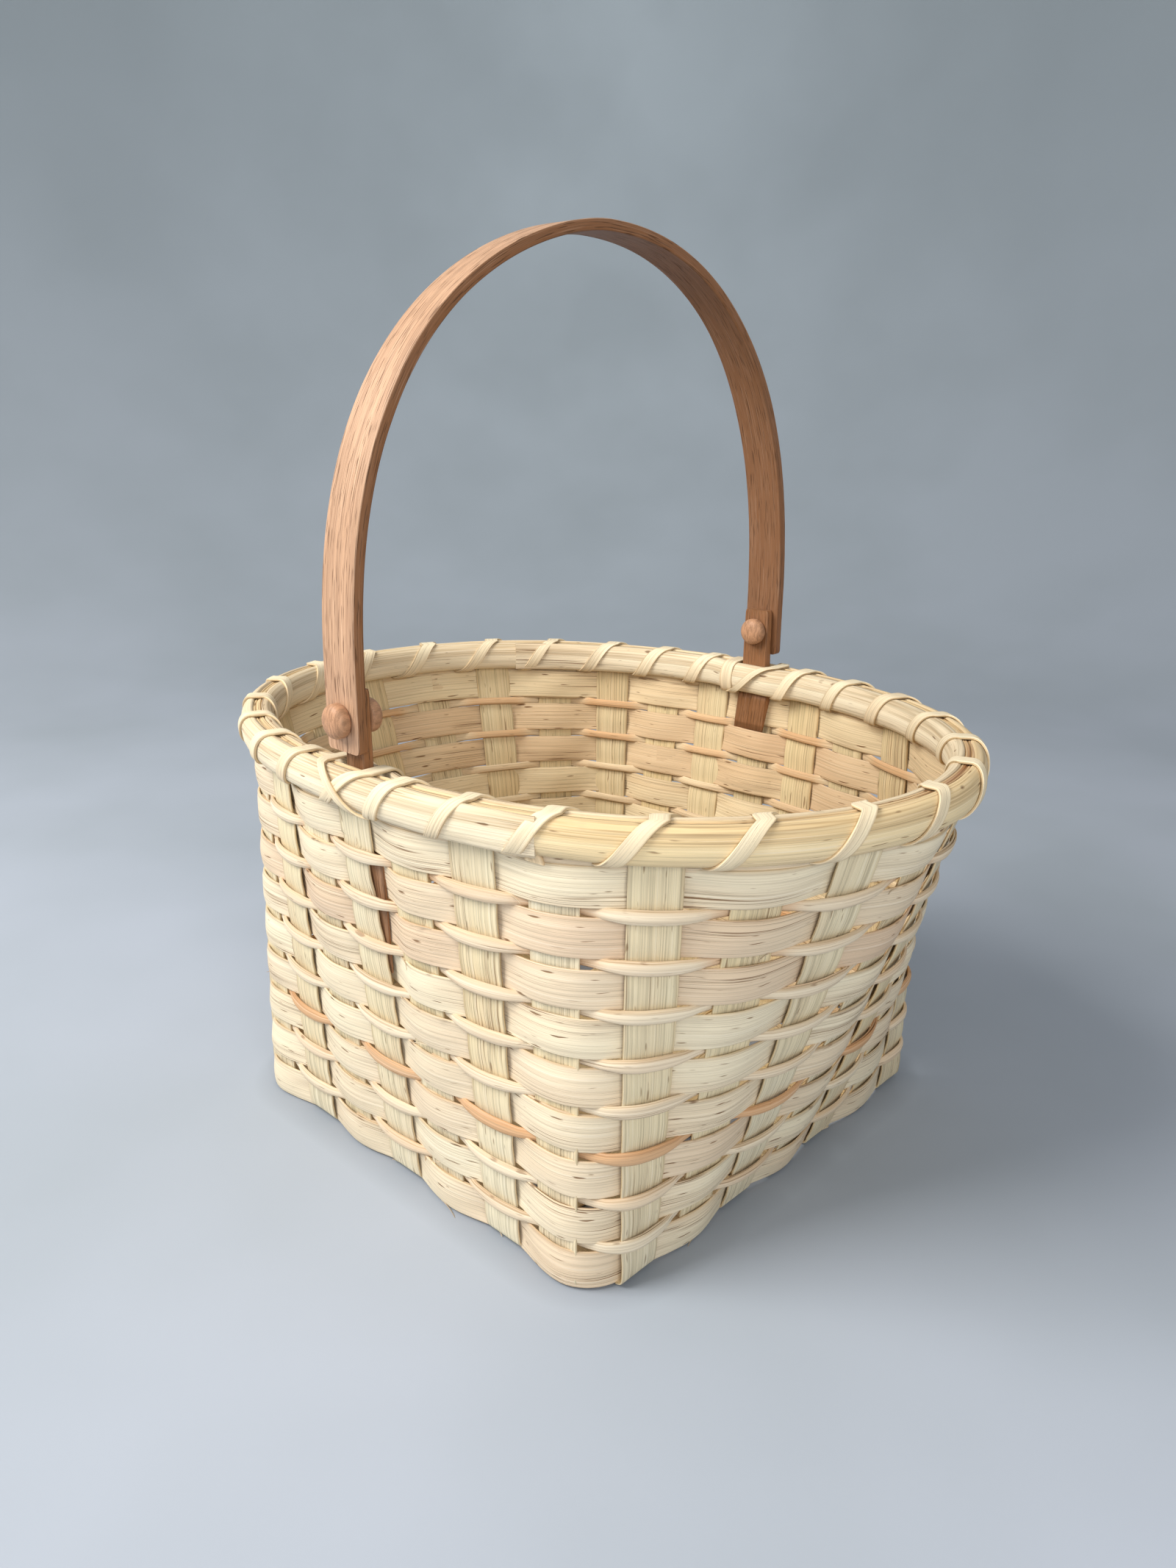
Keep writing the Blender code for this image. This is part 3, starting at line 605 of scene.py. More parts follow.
class Path:
    """The middle line of a strip, with what each of its points carries."""

    def __init__(self):
        self.points, self.through, self.across = [], [], []
        self.narrow, self.thin, self.bow, self.tone = [], [], [], []

    def add(self, point, through, across, narrow=1.0, thin=1.0, bow=0.0, tone=0.0):
        self.points.append(point)
        self.through.append(through)
        self.across.append(across)
        for row, value in ((self.narrow, narrow), (self.thin, thin), (self.bow, bow), (self.tone, tone)):
            row.append(value)

    def square_up(self):
        """Turn the directions through the strip so that they stand square to the line and the width."""
        last = len(self.points) - 1
        for index in range(last + 1):
            line = self.points[min(index + 1, last)] - self.points[max(index - 1, 0)]
            across = self.across[index]
            through = line.cross(across)
            if through.dot(self.through[index]) < 0:
                through = -through
            self.through[index] = through.normalized()
            self.across[index] = (across - line * across.dot(line) / line.length_squared).normalized()

    def mesh(self, name):
        mesh = bpy.data.meshes.new(name)
        mesh.from_pydata(self.points, [(i, i + 1) for i in range(len(self.points) - 1)], [])
        for label, rows in (("through", self.through), ("across", self.across)):
            attribute = mesh.attributes.new(label, "FLOAT_VECTOR", "POINT")
            attribute.data.foreach_set("vector", [value for row in rows for value in row])
        for label in ("narrow", "thin", "bow", "tone"):
            attribute = mesh.attributes.new(label, "FLOAT", "POINT")
            attribute.data.foreach_set("value", getattr(self, label))
        return mesh


def flat_profile(width, thickness, rounding, columns=6):
    """A strip's section: two flat faces with rounded edges. A thick strip gets flat flanks too."""
    points = []
    corner_steps = 2
    for quarter, (way, side) in enumerate(((1, 1), (-1, 1), (-1, -1), (1, -1))):
        centre = (way * (thickness / 2 - rounding), side * (width / 2 - rounding))
        for step in range(corner_steps + 1):
            angle = (quarter + step / corner_steps) * math.pi / 2
            points.append((centre[0] + rounding * math.cos(angle), centre[1] + rounding * math.sin(angle)))
        if way * side > 0 and thickness > 5 * rounding:
            points += [(0.85 * centre[0], side * width / 2), (-0.85 * centre[0], side * width / 2)]
        if way * side < 0:
            face, half = points[-1][0], width / 2 - rounding
            reaches = [half * (1 - 2 * step / columns) for step in range(1, columns)]
            for reach in (half - rounding / 2, *reaches, rounding / 2 - half):
                points.append((face, side * reach))
    return points


def round_profile(width, outward, inward, steps=16):
    """A reed's section: an oval whose outer half may be deeper than its inner one."""
    points = []
    for step in range(steps):
        angle = 2 * math.pi * step / steps
        reach = outward if math.cos(angle) > 0 else inward
        depth = math.copysign(abs(math.cos(angle)) ** 0.8, math.cos(angle)) * reach
        points.append((depth, width / 2 * math.sin(angle)))
    return points


def make_profile(points):
    mesh = bpy.data.meshes.new("profile")
    edges = [(index, (index + 1) % len(points)) for index in range(len(points))]
    mesh.from_pydata([(x, y, 0) for x, y in points], edges, [])
    item = bpy.data.objects.new("profile", mesh)
    bpy.context.scene.collection.objects.link(item)
    return item


def make_strip(name, paths, profile_points, material, seed, ragged=0.0, ripple=0.0, cup=0.0):
    """Sweep one strip, or several in one object, and leave a plain mesh.

    ragged, ripple and cup say how far its edges wander, its face waves and its middle is crowned.
    """
    bodies = []
    profile = make_profile(profile_points)
    width = max(y for _x, y in profile_points) - min(y for _x, y in profile_points)
    for number, path in enumerate(paths):
        wire = bpy.data.objects.new(f"{name}_path", path.mesh(f"{name}_path"))
        bpy.context.scene.collection.objects.link(wire)
        modifier = wire.modifiers.new("strip", "NODES")
        modifier.node_group = bpy.data.node_groups.get("basket_strip") or build_strip_tree()
        set_input(modifier, "Profile", profile)
        set_input(modifier, "Material", material)
        set_input(modifier, "Width", width)
        set_input(modifier, "Cup", cup)
        set_input(modifier, "Ragged", ragged)
        set_input(modifier, "Ripple", ripple)
        set_input(modifier, "Seed", seed + number * 0.7)
        graph = bpy.context.evaluated_depsgraph_get()
        bodies.append(bpy.data.meshes.new_from_object(wire.evaluated_get(graph), depsgraph=graph))
        bpy.data.objects.remove(wire)
    bpy.data.objects.remove(profile)
    bm = bmesh.new()
    for body in bodies:
        bm.from_mesh(body)
    bmesh.ops.recalc_face_normals(bm, faces=bm.faces)
    mesh = bodies[0]
    bm.to_mesh(mesh)
    bm.free()
    for label in ("centre", "through", "across", "narrow", "thin", "bow", "along", "depth", "reach"):
        if label in mesh.attributes:
            mesh.attributes.remove(mesh.attributes[label])
    mesh.name = name
    item = bpy.data.objects.new(name, mesh)
    bpy.context.scene.collection.objects.link(item)
    return item


def dress(item, body, slot, *nodes):
    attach(item, body)
    if nodes:
        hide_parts(*nodes)


# The wall's shape


def shows_outside(stake):
    """Whether a stake lies outside the wide rows, counted round the loop."""
    side, place = divmod(stake % STAKE_ENDS, STAKES_PER_SIDE)
    return (side + place) % 2 == 1


def from_ear(turns):
    """How many stakes a place on the loop is from the nearest ear."""
    half = STAKE_ENDS // 2
    return min(abs((turns - ear + half) % STAKE_ENDS - half) for ear in (FAR_EAR_STAKE, NEAR_EAR_STAKE))


def wall_axes(heading):
    """The level directions along the wall and out of it at a heading."""
    tangent = Vector((math.cos(heading), math.sin(heading), 0))
    return tangent, Vector((tangent.y, -tangent.x, 0))


def rim_angle(stake):
    side, place = divmod(stake % STAKE_ENDS, STAKES_PER_SIDE)
    return side * math.pi / 2 + (place - MIDDLE_PLACE) * 2 * math.pi / STAKE_ENDS


def rim_radius(angle):
    return (HALF_ACROSS + HALF_ALONG) / 2 - (HALF_ALONG - HALF_ACROSS) / 2 * math.cos(2 * angle)


def rim_heading(angle):
    slope = (HALF_ALONG - HALF_ACROSS) * math.sin(2 * angle)
    return angle + math.atan2(rim_radius(angle), slope)


def wall_share(z):
    return min(1, max(0, (z - WALL_FOOT_Z) / (WALL_HEAD_Z - WALL_FOOT_Z)))


def stake_place(stake, z):
    """The middle of a stake at a height, and the wall's heading there."""
    side, place = divmod(stake % STAKE_ENDS, STAKES_PER_SIDE)
    outward = Vector((math.cos(side * math.pi / 2), math.sin(side * math.pi / 2)))
    along = Vector((-outward.y, outward.x))
    foot = outward * BASE_HALF + along * (place - MIDDLE_PLACE) * STAKE_PITCH
    angle = rim_angle(stake)
    head = Vector((math.cos(angle), math.sin(angle))) * rim_radius(angle)
    share = wall_share(z)
    foot_heading = (side + 1) * math.pi / 2
    heading = foot_heading + (rim_heading(angle) - foot_heading) * share
    return foot.lerp(head, share).to_3d() + UP * z, heading


def loop_place(turns, z):
    """A point of the wall's smooth loop at a height. turns counts stakes, between which the wall bends."""
    stake = math.floor(turns)
    t = turns - stake
    here, heading = stake_place(stake, z)
    if t == 0:
        return here
    there, next_heading = stake_place(stake + 1, z)
    bend = (next_heading - heading + math.pi) % (2 * math.pi) - math.pi
    chord = (there - here).length
    pull = chord if abs(bend) < 0.001 else chord * 2 * math.tan(bend / 4) / math.sin(bend / 2)
    start = wall_axes(heading)[0] * pull
    finish = wall_axes(next_heading)[0] * pull
    return (
        here * (2 * t**3 - 3 * t**2 + 1)
        + start * (t**3 - 2 * t**2 + t)
        + there * (3 * t**2 - 2 * t**3)
        + finish * (t**3 - t**2)
    )


def loop_axes(turns, z):
    """The wall's directions at a place: along it, up its slope and out of it."""
    step = 0.02
    along = (loop_place(turns + step, z) - loop_place(turns - step, z)).normalized()
    up = (loop_place(turns, z + 0.002) - loop_place(turns, z - 0.002)).normalized()
    return along, up, along.cross(up).normalized()


def swing(turns, wide):
    """1 where a row lies outside the wall, -1 inside, and in between as a smooth wave."""
    stake = math.floor(turns)
    t = turns - stake
    sign = -1 if shows_outside(stake) else 1
    if not wide:
        sign = -sign
    return sign * math.cos(math.pi * t)


def ease(low, high, value):
    """0 at one value, 1 at another, smooth between and held beyond them."""
    share = min(1.0, max(0.0, (value - low) / (high - low)))
    return share * share * (3 - 2 * share)


def tail_push(turns, z):
    """How far a wide row is pushed in by the tail of an ear that lies under it."""
    if not EAR_TIP_Z < z < ROWS_TOP_Z - WIDE_HEIGHT:
        return 0.0
    return TAIL_PUSH * ease(0.75, 0.35, from_ear(turns - TAIL_PUSH_SHIFT))


# Stakes


def stake_wave(z):
    """The ripple that the rows press into a stake: 1 at the middle of a wide row, -1 between two."""
    return math.cos(2 * math.pi * (z - FIRST_ROW_MIDDLE) / ROW_PITCH)


def beside_tail(stake, z):
    """1 where a stake has moved over for the near ear's tail, fading to 0 at the tail's tip."""
    if stake != NEAR_EAR_STAKE:
        return 0.0
    head = ROWS_TOP_Z - ROW_PITCH + 0.004
    share = (z - EAR_TIP_Z) / (head - EAR_TIP_Z)
    return max(0.0, min(share, (1 - share) * 12 + 0.5, 1.0))


def wall_part(stake, direction, ripple):
    """The standing part of a stake, from its top down to the bend."""
    steps = math.ceil((STAKE_TOP_Z - WALL_FOOT_Z) / STATION_STEP)
    sign = 1 if shows_outside(stake) else -1
    rows = []
    for step in range(steps + 1):
        z = STAKE_TOP_Z + (WALL_FOOT_Z - STAKE_TOP_Z) * step / steps
        middle, heading = stake_place(stake, z)
        tangent, normal = wall_axes(heading)
        calm = min(1.0, max(0.0, (ROWS_TOP_Z - z) / ROW_PITCH))
        out = sign * ripple * stake_wave(z) * calm
        slim = STAKE_SLIMMING * beside_tail(stake, z)
        drift = noise.noise(Vector((stake * 1.7, z * 9, 0.5))) * STAKE_DRIFT
        shift = drift - slim * STAKE_WIDTH / 2
        rows.append((middle + normal * out + tangent * shift, normal, tangent * direction, 1 - slim))
    _foot, heading = stake_place(stake, WALL_FOOT_Z)
    tangent, normal = wall_axes(heading)
    centre = rows[-1][0] - normal * BEND_RADIUS
    bend_steps = 6
    for step in range(1, bend_steps):
        angle = step / bend_steps * math.pi / 2
        through = normal * math.cos(angle) - UP * math.sin(angle)
        rows.append((centre + through * BEND_RADIUS, through, tangent * direction, 1.0))
    return rows


def base_part(along, across, line, over_first):
    """The lying part of a stake, over one crossing stake and under the next."""
    rows = []
    edge = BASE_HALF - BEND_RADIUS
    steps = math.ceil(2 * edge / STATION_STEP)
    for step in range(steps + 1):
        way = -edge + 2 * edge * step / steps
        crossing = way / STAKE_PITCH + MIDDLE_PLACE
        settle = min(1.0, max(0.0, (edge - abs(way)) / 0.006))
        wave = math.cos(math.pi * crossing) * settle * (1 if over_first else -1)
        rows.append((along * way + across * line + UP * (BASE_MIDDLE_Z + BASE_LIFT * wave), -UP, across, 1.0))
    return rows


def stake_path(letter, number, ripple):
    """A strip that is a stake on one side, crosses the base and is a stake opposite."""
    path = Path()
    line = (number - MIDDLE_PLACE) * STAKE_PITCH
    last = STAKES_PER_SIDE - 1
    if letter == "x":
        along, across, ways = Vector((1, 0, 0)), Vector((0, 1, 0)), (-1, 1)
        ends = (2 * STAKES_PER_SIDE + last - number, number)
        over_first = number % 2 == 1
    else:
        along, across, ways = Vector((0, 1, 0)), Vector((1, 0, 0)), (1, -1)
        ends = (3 * STAKES_PER_SIDE + number, STAKES_PER_SIDE + last - number)
        over_first = number % 2 == 0
    rows = wall_part(ends[0], ways[0], ripple)
    rows += base_part(along, across, line, over_first)
    rows += reversed(wall_part(ends[1], ways[1], ripple))
    for index, (point, through, side, narrow) in enumerate(rows):
        tone = 0.35 + 0.9 * noise.noise(Vector((number * 2.3, ord(letter), index * 0.03)))
        path.add(point, through, side, narrow=narrow, tone=min(1.0, max(0.0, tone)))
    path.square_up()
    return path


class BASKET_OT_stakes(bpy.types.Operator):
    """Lay the stakes across the base and stand their ends in the wall"""

    bl_idname = "basket.stakes"
    bl_label = "Stakes"

    def execute(self, context):
        weave, finish = context.scene.basket_weave, context.scene.basket_finish
        deep = toward(finish.stake, srgb(226, 200, 144), 0.6)
        material = splint_material(
            "stake splint", finish.stake, deep, STAKE_WIDTH, lines=1100, groove=0.6, flecks=0.6, depth=0.00042
        )
        profile = flat_profile(STAKE_WIDTH, weave.splint_thickness, SPLINT_ROUNDING)
        for letter in "xy":
            for number in range(STAKES_PER_SIDE):
                node = f"stake_{letter}_{number + 1}"
                item = make_strip(
                    f"woven_{node}",
                    [stake_path(letter, number, weave.stake_ripple)],
                    profile,
                    material,
                    ragged=weave.ragged * 0.6,
                    ripple=weave.ripple * 0.4,
                    seed=number * 1.3 + (11.0 if letter == "y" else 0.0),
                )
                dress(item, "basket", "stake_splint", node)
        return {"FINISHED"}


# Rows


def row_path(z, wide, bulge, start, overlap, layer, seed):
    """A row from its hidden start, once round the wall, to an end that lies over the start.

    bulge is how far it swings out and in, and layer how far its two ends lie apart. A reed narrows where it
    passes from front to back.
    """
    path = Path()
    steps = round((STAKE_ENDS + overlap) * STATIONS_PER_STAKE)
    for step in range(steps + 1):
        run = step / STATIONS_PER_STAKE
        turns = start + run
        _along, up, out = loop_axes(turns, z)
        wave = swing(turns, wide)
        shape = wave if wide else math.copysign(abs(wave) ** 0.75, wave)
        offset = bulge * shape
        drift = noise.noise(Vector((run * 0.7, seed * 3.1, z * 40)))
        tilt = noise.noise(Vector((run * 0.45, seed * 5.3 + 20, z * 40)))
        under = 1 - ease(overlap - 1, overlap, run)
        over = ease(STAKE_ENDS, STAKE_ENDS + 1, run)
        thin = narrow = 1.0
        if wide:
            offset -= tail_push(turns, z)
            offset -= layer * under
        else:
            thin = 1 - 0.5 * max(under, over)
            narrow = 0.78 + (0.22 if wave > 0 else -0.1) * ease(0.1, 0.8, abs(wave))
            offset += layer * (over - under)
        point = loop_place(turns % STAKE_ENDS, z) + out * offset + up * drift * ROW_DRIFT
        lean = tilt * (WIDE_LEAN if wide else REED_LEAN)
        path.add(point, out + up * lean, up - out * lean, narrow=narrow, thin=thin, bow=wave)
    path.square_up()
    return path


def shade_row(path, base, change, seed):
    """Give a row its own tone, which changes slowly along it."""
    for index in range(len(path.points)):
        drift = noise.noise(Vector((index / STATIONS_PER_STAKE * 0.35, seed * 2.7, 4.4)))
        path.tone[index] = min(1.0, max(0.0, base + change * drift))


def fibre_path(row, height, rng):
    """A fine fibre that has come loose from the edge of a row and stands off it."""
    path = Path()
    start = rng.randrange(4, len(row.points) - 12)
    edge = rng.choice((-0.49, 0.49))
    way = rng.choice((-1, 1))
    line = (row.points[start + 1] - row.points[start]).normalized() * way
    through, across = row.through[start], row.across[start]
    length = rng.uniform(0.004, 0.012)
    lift = rng.uniform(0.0006, 0.0024)
    drop = rng.uniform(-0.002, 0.003)
    foot = row.points[start] + across * edge * height + through * 0.0004
    steps = 6
    for step in range(steps + 1):
        share = step / steps
        point = foot + line * length * share + through * lift * share * share
        point += across * math.copysign(drop * share**1.6, edge)
        narrow = 0.022 - 0.014 * share
        thin = 0.3 - 0.18 * share
        path.add(point, through.copy(), across.copy(), narrow=narrow, thin=thin, tone=0.3)
    path.square_up()
    return path


class BASKET_OT_wide_rows(bpy.types.Operator):
    """Weave the wide rows"""

    bl_idname = "basket.wide_rows"
    bl_label = "Wide Rows"

    def execute(self, context):
        weave, finish = context.scene.basket_weave, context.scene.basket_finish
        material = splint_material(
            "wide splint", finish.splint, finish.splint_pink, weave.wide_height,
            lines=1200, groove=0.42, flecks=0.85, depth=0.00032
        )
        profile = flat_profile(weave.wide_height, weave.splint_thickness, SPLINT_ROUNDING)
        rng = random.Random(11)
        for row in range(WIDE_ROWS):
            node = f"wide_row_{row + 1}"
            start = 2 * rng.randrange(10) + 1
            while shows_outside(start):
                start += 1
            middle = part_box(node)[1].z - WIDE_HEIGHT / 2 - (FIRST_ROW_DROP if row == 0 else 0.0)
            layer = weave.splint_thickness + 0.00005
            path = row_path(middle, True, weave.row_bulge, start, WIDE_OVERLAP, layer, row)
            shade_row(path, 0.5 if row + 1 in PINK_ROWS else rng.choice((0.0, 0.08, 0.2)), 0.7, row)
            if row == 0:
                path.narrow = [FIRST_ROW_SPREAD] * len(path.narrow)
            fibres = [fibre_path(path, weave.wide_height, rng) for _fibre in range(weave.loose_fibres)]
            item = make_strip(
                f"woven_{node}",
                [path, *fibres],
                profile,
                material,
                ragged=weave.ragged,
                ripple=weave.ripple,
                cup=weave.cup,
                seed=row * 1.1 + 20.0,
            )
            dress(item, "basket", "wide_splint", node)
        return {"FINISHED"}


class BASKET_OT_narrow_rows(bpy.types.Operator):
    """Weave the narrow rows of reed between the wide ones"""

    bl_idname = "basket.narrow_rows"
    bl_label = "Narrow Rows"

    def execute(self, context):
        weave, finish = context.scene.basket_weave, context.scene.basket_finish
        material = splint_material(
            "narrow reed", finish.reed, finish.amber, weave.reed_height,
            lines=1300, groove=0.4, flecks=0.5, depth=0.00022
        )
        profile = round_profile(weave.reed_height, weave.reed_thickness * 0.6, weave.reed_thickness * 0.4)
        slots = {part["node"]: part["material_slot"] for part in frame["record"]["subparts"]}
        rng = random.Random(5)
        for row in range(NARROW_ROWS):
            node = f"narrow_row_{row + 1}"
            low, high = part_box(node)
            start = rng.randrange(STAKE_ENDS)
            while shows_outside(start):
                start += 1
            middle = (low.z + high.z) / 2
            layer = weave.reed_thickness / 4
            path = row_path(middle, False, weave.reed_bulge, start, REED_OVERLAP, layer, row + 30)
            shade_row(path, 0.9 if node == PEACH_ROW else 0.04, 0.35, row + 30)
            # Amber reeds deepen in tone where they pass behind the stakes: partly the reed's own amber, partly
            # painted shade where it dives
            if slots[node] == "amber_reed" and node != PEACH_ROW:
                for index, bow in enumerate(path.bow):
                    path.tone[index] = min(1.0, path.tone[index] + 0.5 * ease(0.3, -0.6, bow))
            item = make_strip(
                f"woven_{node}",
                [path],
                profile,
                material,
                ragged=weave.ragged * 0.7,
                ripple=weave.ripple * 0.5,
                seed=row * 1.1 + 33.0,
            )
            dress(item, "basket", slots[node], node)
        return {"FINISHED"}


# Rims


def rim_section():
    """The half-round section of a rim, from its back, which lies along the wall."""
    section = []
    points = 26
    for step in range(points):
        angle = 2 * math.pi * step / points
        depth = rim_depth(angle) if math.cos(angle) > 0 else RIM_CREST * (1 - abs(math.cos(angle)) ** 0.5)
        section.append((depth, RIM_HALF_HEIGHT * math.sin(angle)))
    return section


def rim_depth(angle):
    """How far a rim's face stands off its back, at an angle from level round the section."""
    return RIM_CREST + (RIM_DEPTH - RIM_CREST) * max(0.0, math.cos(angle)) ** 0.8


def ear_bow(turns):
    """How far the inner rim bows in to clear an ear."""
    return EAR_BOW * ease(1.0, 0.32, from_ear(turns))


def rim_path(facing, start, overlap, gold, seed):
    """A rim hoop whose two thinned ends lie over each other. facing is 1 outward and -1 inward."""
    path = Path()
    steps = round((STAKE_ENDS + overlap) * STATIONS_PER_STAKE)
    for step in range(steps + 1):
        run = step / STATIONS_PER_STAKE
        turns = start + run
        _along, _up, out = loop_axes(turns, RIM_TOP_Z)
        bow = ear_bow(turns) if facing < 0 else 0.0
        thin = 1.0 - 0.75 * (1 - min(1.0, run / overlap))
        shift = 0.0
        if run > STAKE_ENDS:
            thin = 1 - 0.8 * (run - STAKE_ENDS) / overlap
            shift = (1 - thin) * RIM_DEPTH
        drift = noise.noise(Vector((run * 0.4, seed, 1.3))) * RIM_DRIFT
        point = loop_place(turns % STAKE_ENDS, RIM_TOP_Z)
        point.z = RIM_MIDDLE + drift
        point += out * facing * (RIM_BACK + bow + shift)
        tone = ease(17.0, 5.0, run) * gold + 0.12 * noise.noise(Vector((run * 0.5, seed, 7.7)))
        path.add(point, out * facing, UP.copy(), thin=thin, tone=min(1.0, max(0.0, tone)))
    path.square_up()
    return path


def plain_ring(z, out_at, tone_at):
    """A strand once round the rim, whose ends meet.

    out_at gives its distance from the stakes' middle at each place, and tone_at its tone.
    """
    path = Path()
    for step in range(STAKE_ENDS * STATIONS_PER_STAKE + 1):
        turns = MIDDLE_PLACE + step / STATIONS_PER_STAKE
        _along, _up, out = loop_axes(turns, RIM_TOP_Z)
        point = loop_place(turns % STAKE_ENDS, RIM_TOP_Z)
        point.z = z
        path.add(point + out * out_at(turns), out, UP.copy(), tone=tone_at(turns % STAKE_ENDS))
    path.square_up()
    return path


def filler_strand(number):
    """One of the strands that lie side by side between the rims, brown where the photo shows them so."""
    spacing = 2 * RIM_BACK / FILLER_STRANDS
    middle = (number - (FILLER_STRANDS - 1) / 2) * spacing

    def out_at(turns):
        return middle + 0.0004 * noise.noise(Vector((turns * 0.8, number * 3.7, 6.1)))

    def tone_at(turns):
        bare = ease(1.7, 0.6, abs(turns - BARE_FILLER_STAKE))
        return bare * (0.55 + 0.8 * noise.noise(Vector((turns * 0.5, number * 5.1, 2.2))))

    lift = 0.0009 * noise.noise(Vector((number * 2.3, 8.0, 1.0)))
    return plain_ring(RIM_TOP_Z - 0.0016 + lift, out_at, tone_at)


def rim_row_path(z):
    """The row that the two rims clamp, which swings out and in less than those below."""
    return plain_ring(z, lambda turns: RIM_ROW_BULGE * swing(turns, True), lambda turns: 0.3)


class BASKET_OT_rims(bpy.types.Operator):
    """Bend the two rims round the top, with the filler between them and the row that they clamp"""

    bl_idname = "basket.rims"
    bl_label = "Rims"

    def execute(self, context):
        weave, finish = context.scene.basket_weave, context.scene.basket_finish
        material = splint_material(
            "rim splint", finish.rim, finish.rim_gold, 2 * RIM_HALF_HEIGHT,
            lines=1200, groove=0.45, flecks=0.8, depth=0.0003
        )
        for node, facing, start, gold, seed in (
            ("outer_rim", 1, OUTER_RIM_START, 0.85, 3.0),
            ("inner_rim", -1, INNER_RIM_START, 0.1, 9.0),
        ):
            item = make_strip(
                f"bent_{node}",
                [rim_path(facing, start, RIM_OVERLAP, gold, seed)],
                rim_section(),
                material,
                seed=seed + 40.0,
                ragged=weave.ragged * 0.5,
                ripple=weave.ripple,
            )
            dress(item, "basket", "rim_splint", node)
        bare = srgb(160, 112, 70)
        filler = splint_material(
            "rim filler", finish.filler, bare, 0.003, lines=900, groove=0.7, flecks=0.9, depth=0.0004
        )
        item = make_strip(
            "bent_rim_filler",
            [filler_strand(number) for number in range(FILLER_STRANDS)],
            round_profile(FILLER_WIDTH, FILLER_REACH, FILLER_REACH, steps=8),
            filler,
            seed=52.0,
            ragged=0.0002,
            ripple=0.0001,
        )
        dress(item, "basket", "rim_filler", "rim_filler")
        bottom = RIM_BOTTOM_Z - 0.0037
        item = make_strip(
            "woven_rim_row",
            [rim_row_path((bottom + STAKE_TOP_Z) / 2)],
            flat_profile(STAKE_TOP_Z - bottom - 0.001, weave.splint_thickness, SPLINT_ROUNDING),
            bpy.data.materials["wide splint"],
            seed=53.0,
            ragged=0.0001,
        )
        dress(item, "basket", "narrow_reed", "rim_row")
        return {"FINISHED"}


# Lashing


def lash_ring():
    """The closed line round both rims as (out, z, top) points, from under them, up the outer face and over.

    top is 0 at the bottom and 1 on the crest.
    """
    face_steps, flat_steps = 16, 4
    gap = LASH_THICKNESS / 2 + 0.0001
    rise = []
    for step in range(face_steps + 1):
        angle = math.pi * (step / face_steps - 0.5)
        swell = gap * max(0.3, math.cos(angle))
        height = (RIM_HALF_HEIGHT + gap) * math.sin(angle)
        rise.append((RIM_BACK + rim_depth(angle) + swell, RIM_MIDDLE + height, step / face_steps))
    edge, top = rise[-1][0], rise[-1][1]
    over = [(edge * (1 - 2 * step / flat_steps), top, 1.0) for step in range(1, flat_steps)]
    fall = [(-out, z, share) for out, z, share in reversed(rise)]
    under = [(edge * (2 * step / flat_steps - 1), rise[0][1], 0.0) for step in range(1, flat_steps)]
    return rise + over + fall + under


def lash_point(turns, out, z):
    """A point round the rims, kept clear of the inner rim's bows at the ears."""
    _along, _up, normal = loop_axes(turns, RIM_TOP_Z)
    point = loop_place(turns % STAKE_ENDS, RIM_TOP_Z)
    point.z = z
    if out < 0:
        out -= ear_bow(turns)
    return point + normal * out


def add_lash_point(path, turns, out, z, narrow, tone):
    """Add a point of a strip that lies flat on the rims, whose width runs along them."""
    point = lash_point(turns, out, z)
    along, _up, _out = loop_axes(turns, RIM_TOP_Z)
    away = point - lash_point(turns, 0.0, RIM_MIDDLE)
    away -= along * away.dot(along)
    path.add(point, away.normalized(), along, narrow=narrow, tone=tone)


def lash_path():
    """One strip wound once round the rims in each gap between two stakes, leaning as it climbs.

    At an ear nearly all of the lean is in the climb. The strip ends where a turn after the last would start.
    """
    path = Path()
    ring = lash_ring()
    for number in range(STAKE_ENDS + 1):
        stake = LASH_FIRST_STAKE + number
        crest = 0.95 if from_ear(stake) == 0 else 0.5
        narrow = 1 + 0.22 * noise.noise(Vector((number * 1.9, 4.0, 2.0)))
        drift = 0.07 * noise.noise(Vector((number * 3.3, 0.0, 2.0)))
        points = ring if number < STAKE_ENDS else ring[:1]
        for index, (out, z, top) in enumerate(points):
            rising = index <= len(ring) / 2
            lean = crest * top if rising else crest + (1 - crest) * (1 - top)
            turns = stake - 0.5 + lean + drift * top
            # The tone deepens from the crest toward the bottom of the rims and under them: painted shade where the
            # wraps go under
            add_lash_point(path, turns, out, z, narrow, 0.2 + 0.3 * (1 - top))
    return path


def ear_cross_path(stake):
    """The turn that crosses the lashing at an ear: over the rims on one side of it, under on the other."""
    path = Path()
    for out, z, top in lash_ring():
        if 0 < top < 1:
            out += math.copysign(LASH_THICKNESS, out)
        add_lash_point(path, stake + 0.5 - 0.95 * top, out, z, 0.72, 0.15)
    return path


def lash_end_path():
    """The loose end of the lashing, which sticks out from under the outer rim."""
    path = Path()
    for drop, out in ((0.0, 0.0016), (0.003, 0.0022), (0.0052, 0.003), (0.0068, 0.004)):
        turns = LASH_FIRST_STAKE - 0.3 + drop * 20
        along, up, normal = loop_axes(turns, RIM_BOTTOM_Z)
        point = loop_place(turns % STAKE_ENDS, RIM_BOTTOM_Z) + normal * out
        point.z = RIM_BOTTOM_Z + 0.0045 - drop
        path.add(point, normal, (along - up * 0.15).normalized(), tone=0.4)
    return path


